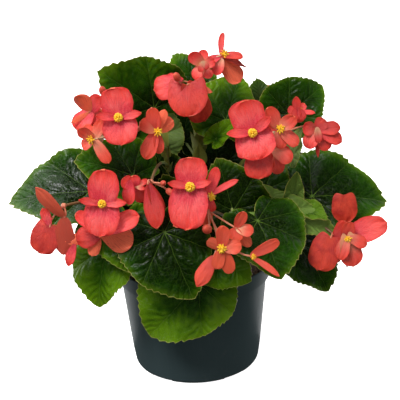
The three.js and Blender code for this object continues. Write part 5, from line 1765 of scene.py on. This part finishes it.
def lumps(x, y):
    """The height of the compost's lumps at a point, in millimetres."""
    slow = 1.2 * math.sin(0.21 * x + 1) * math.cos(0.17 * y - 2 + 0.05 * x)
    return slow + 1.6 * noise.fractal(Vector((x, y, 3)) * 0.16, 0.9, 2.0, 4)


bed_profile = [
    (pot_radius(0) - POT_WALL - BASE_FILLET - SOIL_GAP, NOTCH_HEIGHT + POT_WALL + SOIL_GAP),
    (pot_radius(BASE_FILLET) - POT_WALL - SOIL_GAP - 0.2, BASE_FILLET + NOTCH_HEIGHT),
    (BED_RADIUS, SOIL_TOP - 4),
    (BED_RADIUS - 2, SOIL_TOP - 1),
]
compost = turned(bed_profile, SOIL_SIDES, rings=SOIL_RINGS)
bed = points_of(compost)
for point in bed:
    if point[2] > (SOIL_TOP - 1.5) * MM:
        point[2] += lumps(point[0] / MM, point[1] / MM) * MM
set_points(compost, bed)
compost.data.materials.append(COMPOST)
smooth(compost, 40)
print("compost bed:", len(bed), "points")

# %% Crumbs and perlite
CRUMBS = 420
PERLITE_EVERY = 7
chance = np.random.default_rng(seed=7)
bpy.ops.mesh.primitive_ico_sphere_add(subdivisions=1, radius=1)
crumb = bpy.context.object
crumb.data.materials.append(COMPOST)
crumb_shape = points_of(crumb)
crumbs = []
for place in range(CRUMBS):
    away, turn = (BED_RADIUS - 4) * math.sqrt(chance.random()), 2 * math.pi * chance.random()
    x, y = away * math.cos(turn), away * math.sin(turn)
    size = chance.uniform(0.7, 2.2, 3)
    rough = 1 + 0.3 * chance.standard_normal((len(crumb_shape), 1)).clip(-1, 1)
    one = copy_of(crumb, "crumb")
    at = np.array([x, y, SOIL_TOP - 1 + lumps(x, y) + 0.3 * size[2]])
    set_points(one, (at + crumb_shape * rough * size) * MM)
    if place % PERLITE_EVERY == 0:
        one.data.materials[0] = PERLITE
    crumbs.append(one)
delete(crumb)
compost = joined([compost, *crumbs], "compost_bed")
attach(compost, "root")
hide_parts("soil")
print("compost faces:", len(compost.data.polygons))

# %% [markdown]
# ## Floor and light
#
# The photo is a studio shot on pure white with a soft light from the upper left front, and the pot's
# sides catch a pale sheen. A broad sun gives the even key light, and two weaker suns and a soft light
# from the top left fill the shadows. Two long soft lights behind and a glowing card on the floor give
# the sheen, and the card alone is what the pot mirrors of the floor. The floor's paper goes on as a
# wall far all around, so that every view ends on white, and it glows so that it stays white under the
# plant.


# %% Floor
def floor_paper():
    finish = Finish("floor_white_paper")
    grain = finish.noise(finish.place(), 300.0, 3.0)
    return finish.surface(
        Base_Color=finish.mix(grain, colour(250, 250, 250), colour(246, 246, 246)),
        Roughness=0.9,
        Specular_IOR_Level=0.0,
        Emission_Color=colour(255, 255, 255),
        Emission_Strength=1.0,
    )


SWEEP_RADIUS = 6
SWEEP_HEIGHT = 5

bpy.ops.mesh.primitive_circle_add(vertices=96, radius=SWEEP_RADIUS, fill_type="NGON")
ground = bpy.context.object
bpy.ops.mesh.primitive_cylinder_add(
    vertices=96, radius=SWEEP_RADIUS, depth=SWEEP_HEIGHT, end_fill_type="NOTHING",
    location=(0, 0, SWEEP_HEIGHT / 2),
)
bpy.ops.object.transform_apply(location=True, rotation=False, scale=False)
floor = joined([ground, bpy.context.object], "studio_floor")
floor.data.materials.append(floor_paper())
floor.visible_diffuse = False
floor.visible_glossy = False
floor.visible_shadow = False
print("floor:", floor.name)


# %% Lights
PLANT_MIDDLE = Vector((0, 0, 0.17))
FILL = dict(angle=math.radians(60))
STRIP = dict(shape="RECTANGLE", size=0.5, size_y=1.2)


def add_light(kind, name, place, power, **settings):
    """A light that looks at the plant's middle, with its power in watts, or a sun's strength."""
    bpy.ops.object.light_add(type=kind, location=place)
    light = bpy.context.object
    light.name = name
    light.data.energy = power
    for setting, value in settings.items():
        setattr(light.data, setting, value)
    aim = PLANT_MIDDLE - light.location
    light.rotation_euler = aim.to_track_quat("-Z", "Y").to_euler()
    return light


add_light("SUN", "key_sun", (-0.7, -1.0, 1.9), 3.0, angle=math.radians(24))
add_light("SUN", "front_fill", (0.2, -1.5, 0.6), 0.75, **FILL).visible_glossy = False
add_light("SUN", "right_fill", (1.5, 0.5, 0.7), 0.6, **FILL).visible_glossy = False
add_light("AREA", "left_strip", (-0.9, 0.5, 0.5), 8.0, **STRIP)
add_light("AREA", "right_strip", (0.9, 0.5, 0.5), 3.5, **STRIP)
card = add_light("AREA", "back_card", (0, 0.37, 0.002), 4.4, shape="RECTANGLE", size=1.0, size_y=0.7)
card.rotation_euler = (math.pi, 0, 0)
card.visible_camera = False
card.visible_diffuse = False
add_light("AREA", "top_left", (-0.6, 0.1, 1.2), 8.0, shape="RECTANGLE", size=0.9, size_y=0.9)

world = bpy.data.worlds.new("studio_white")
world.use_nodes = True
bpy.context.scene.world = world
sky = world.node_tree.nodes["Background"]
sky.inputs["Color"].default_value = colour(255, 255, 255)
sky.inputs["Strength"].default_value = 0.08
bpy.context.scene.view_settings.view_transform = "Standard"
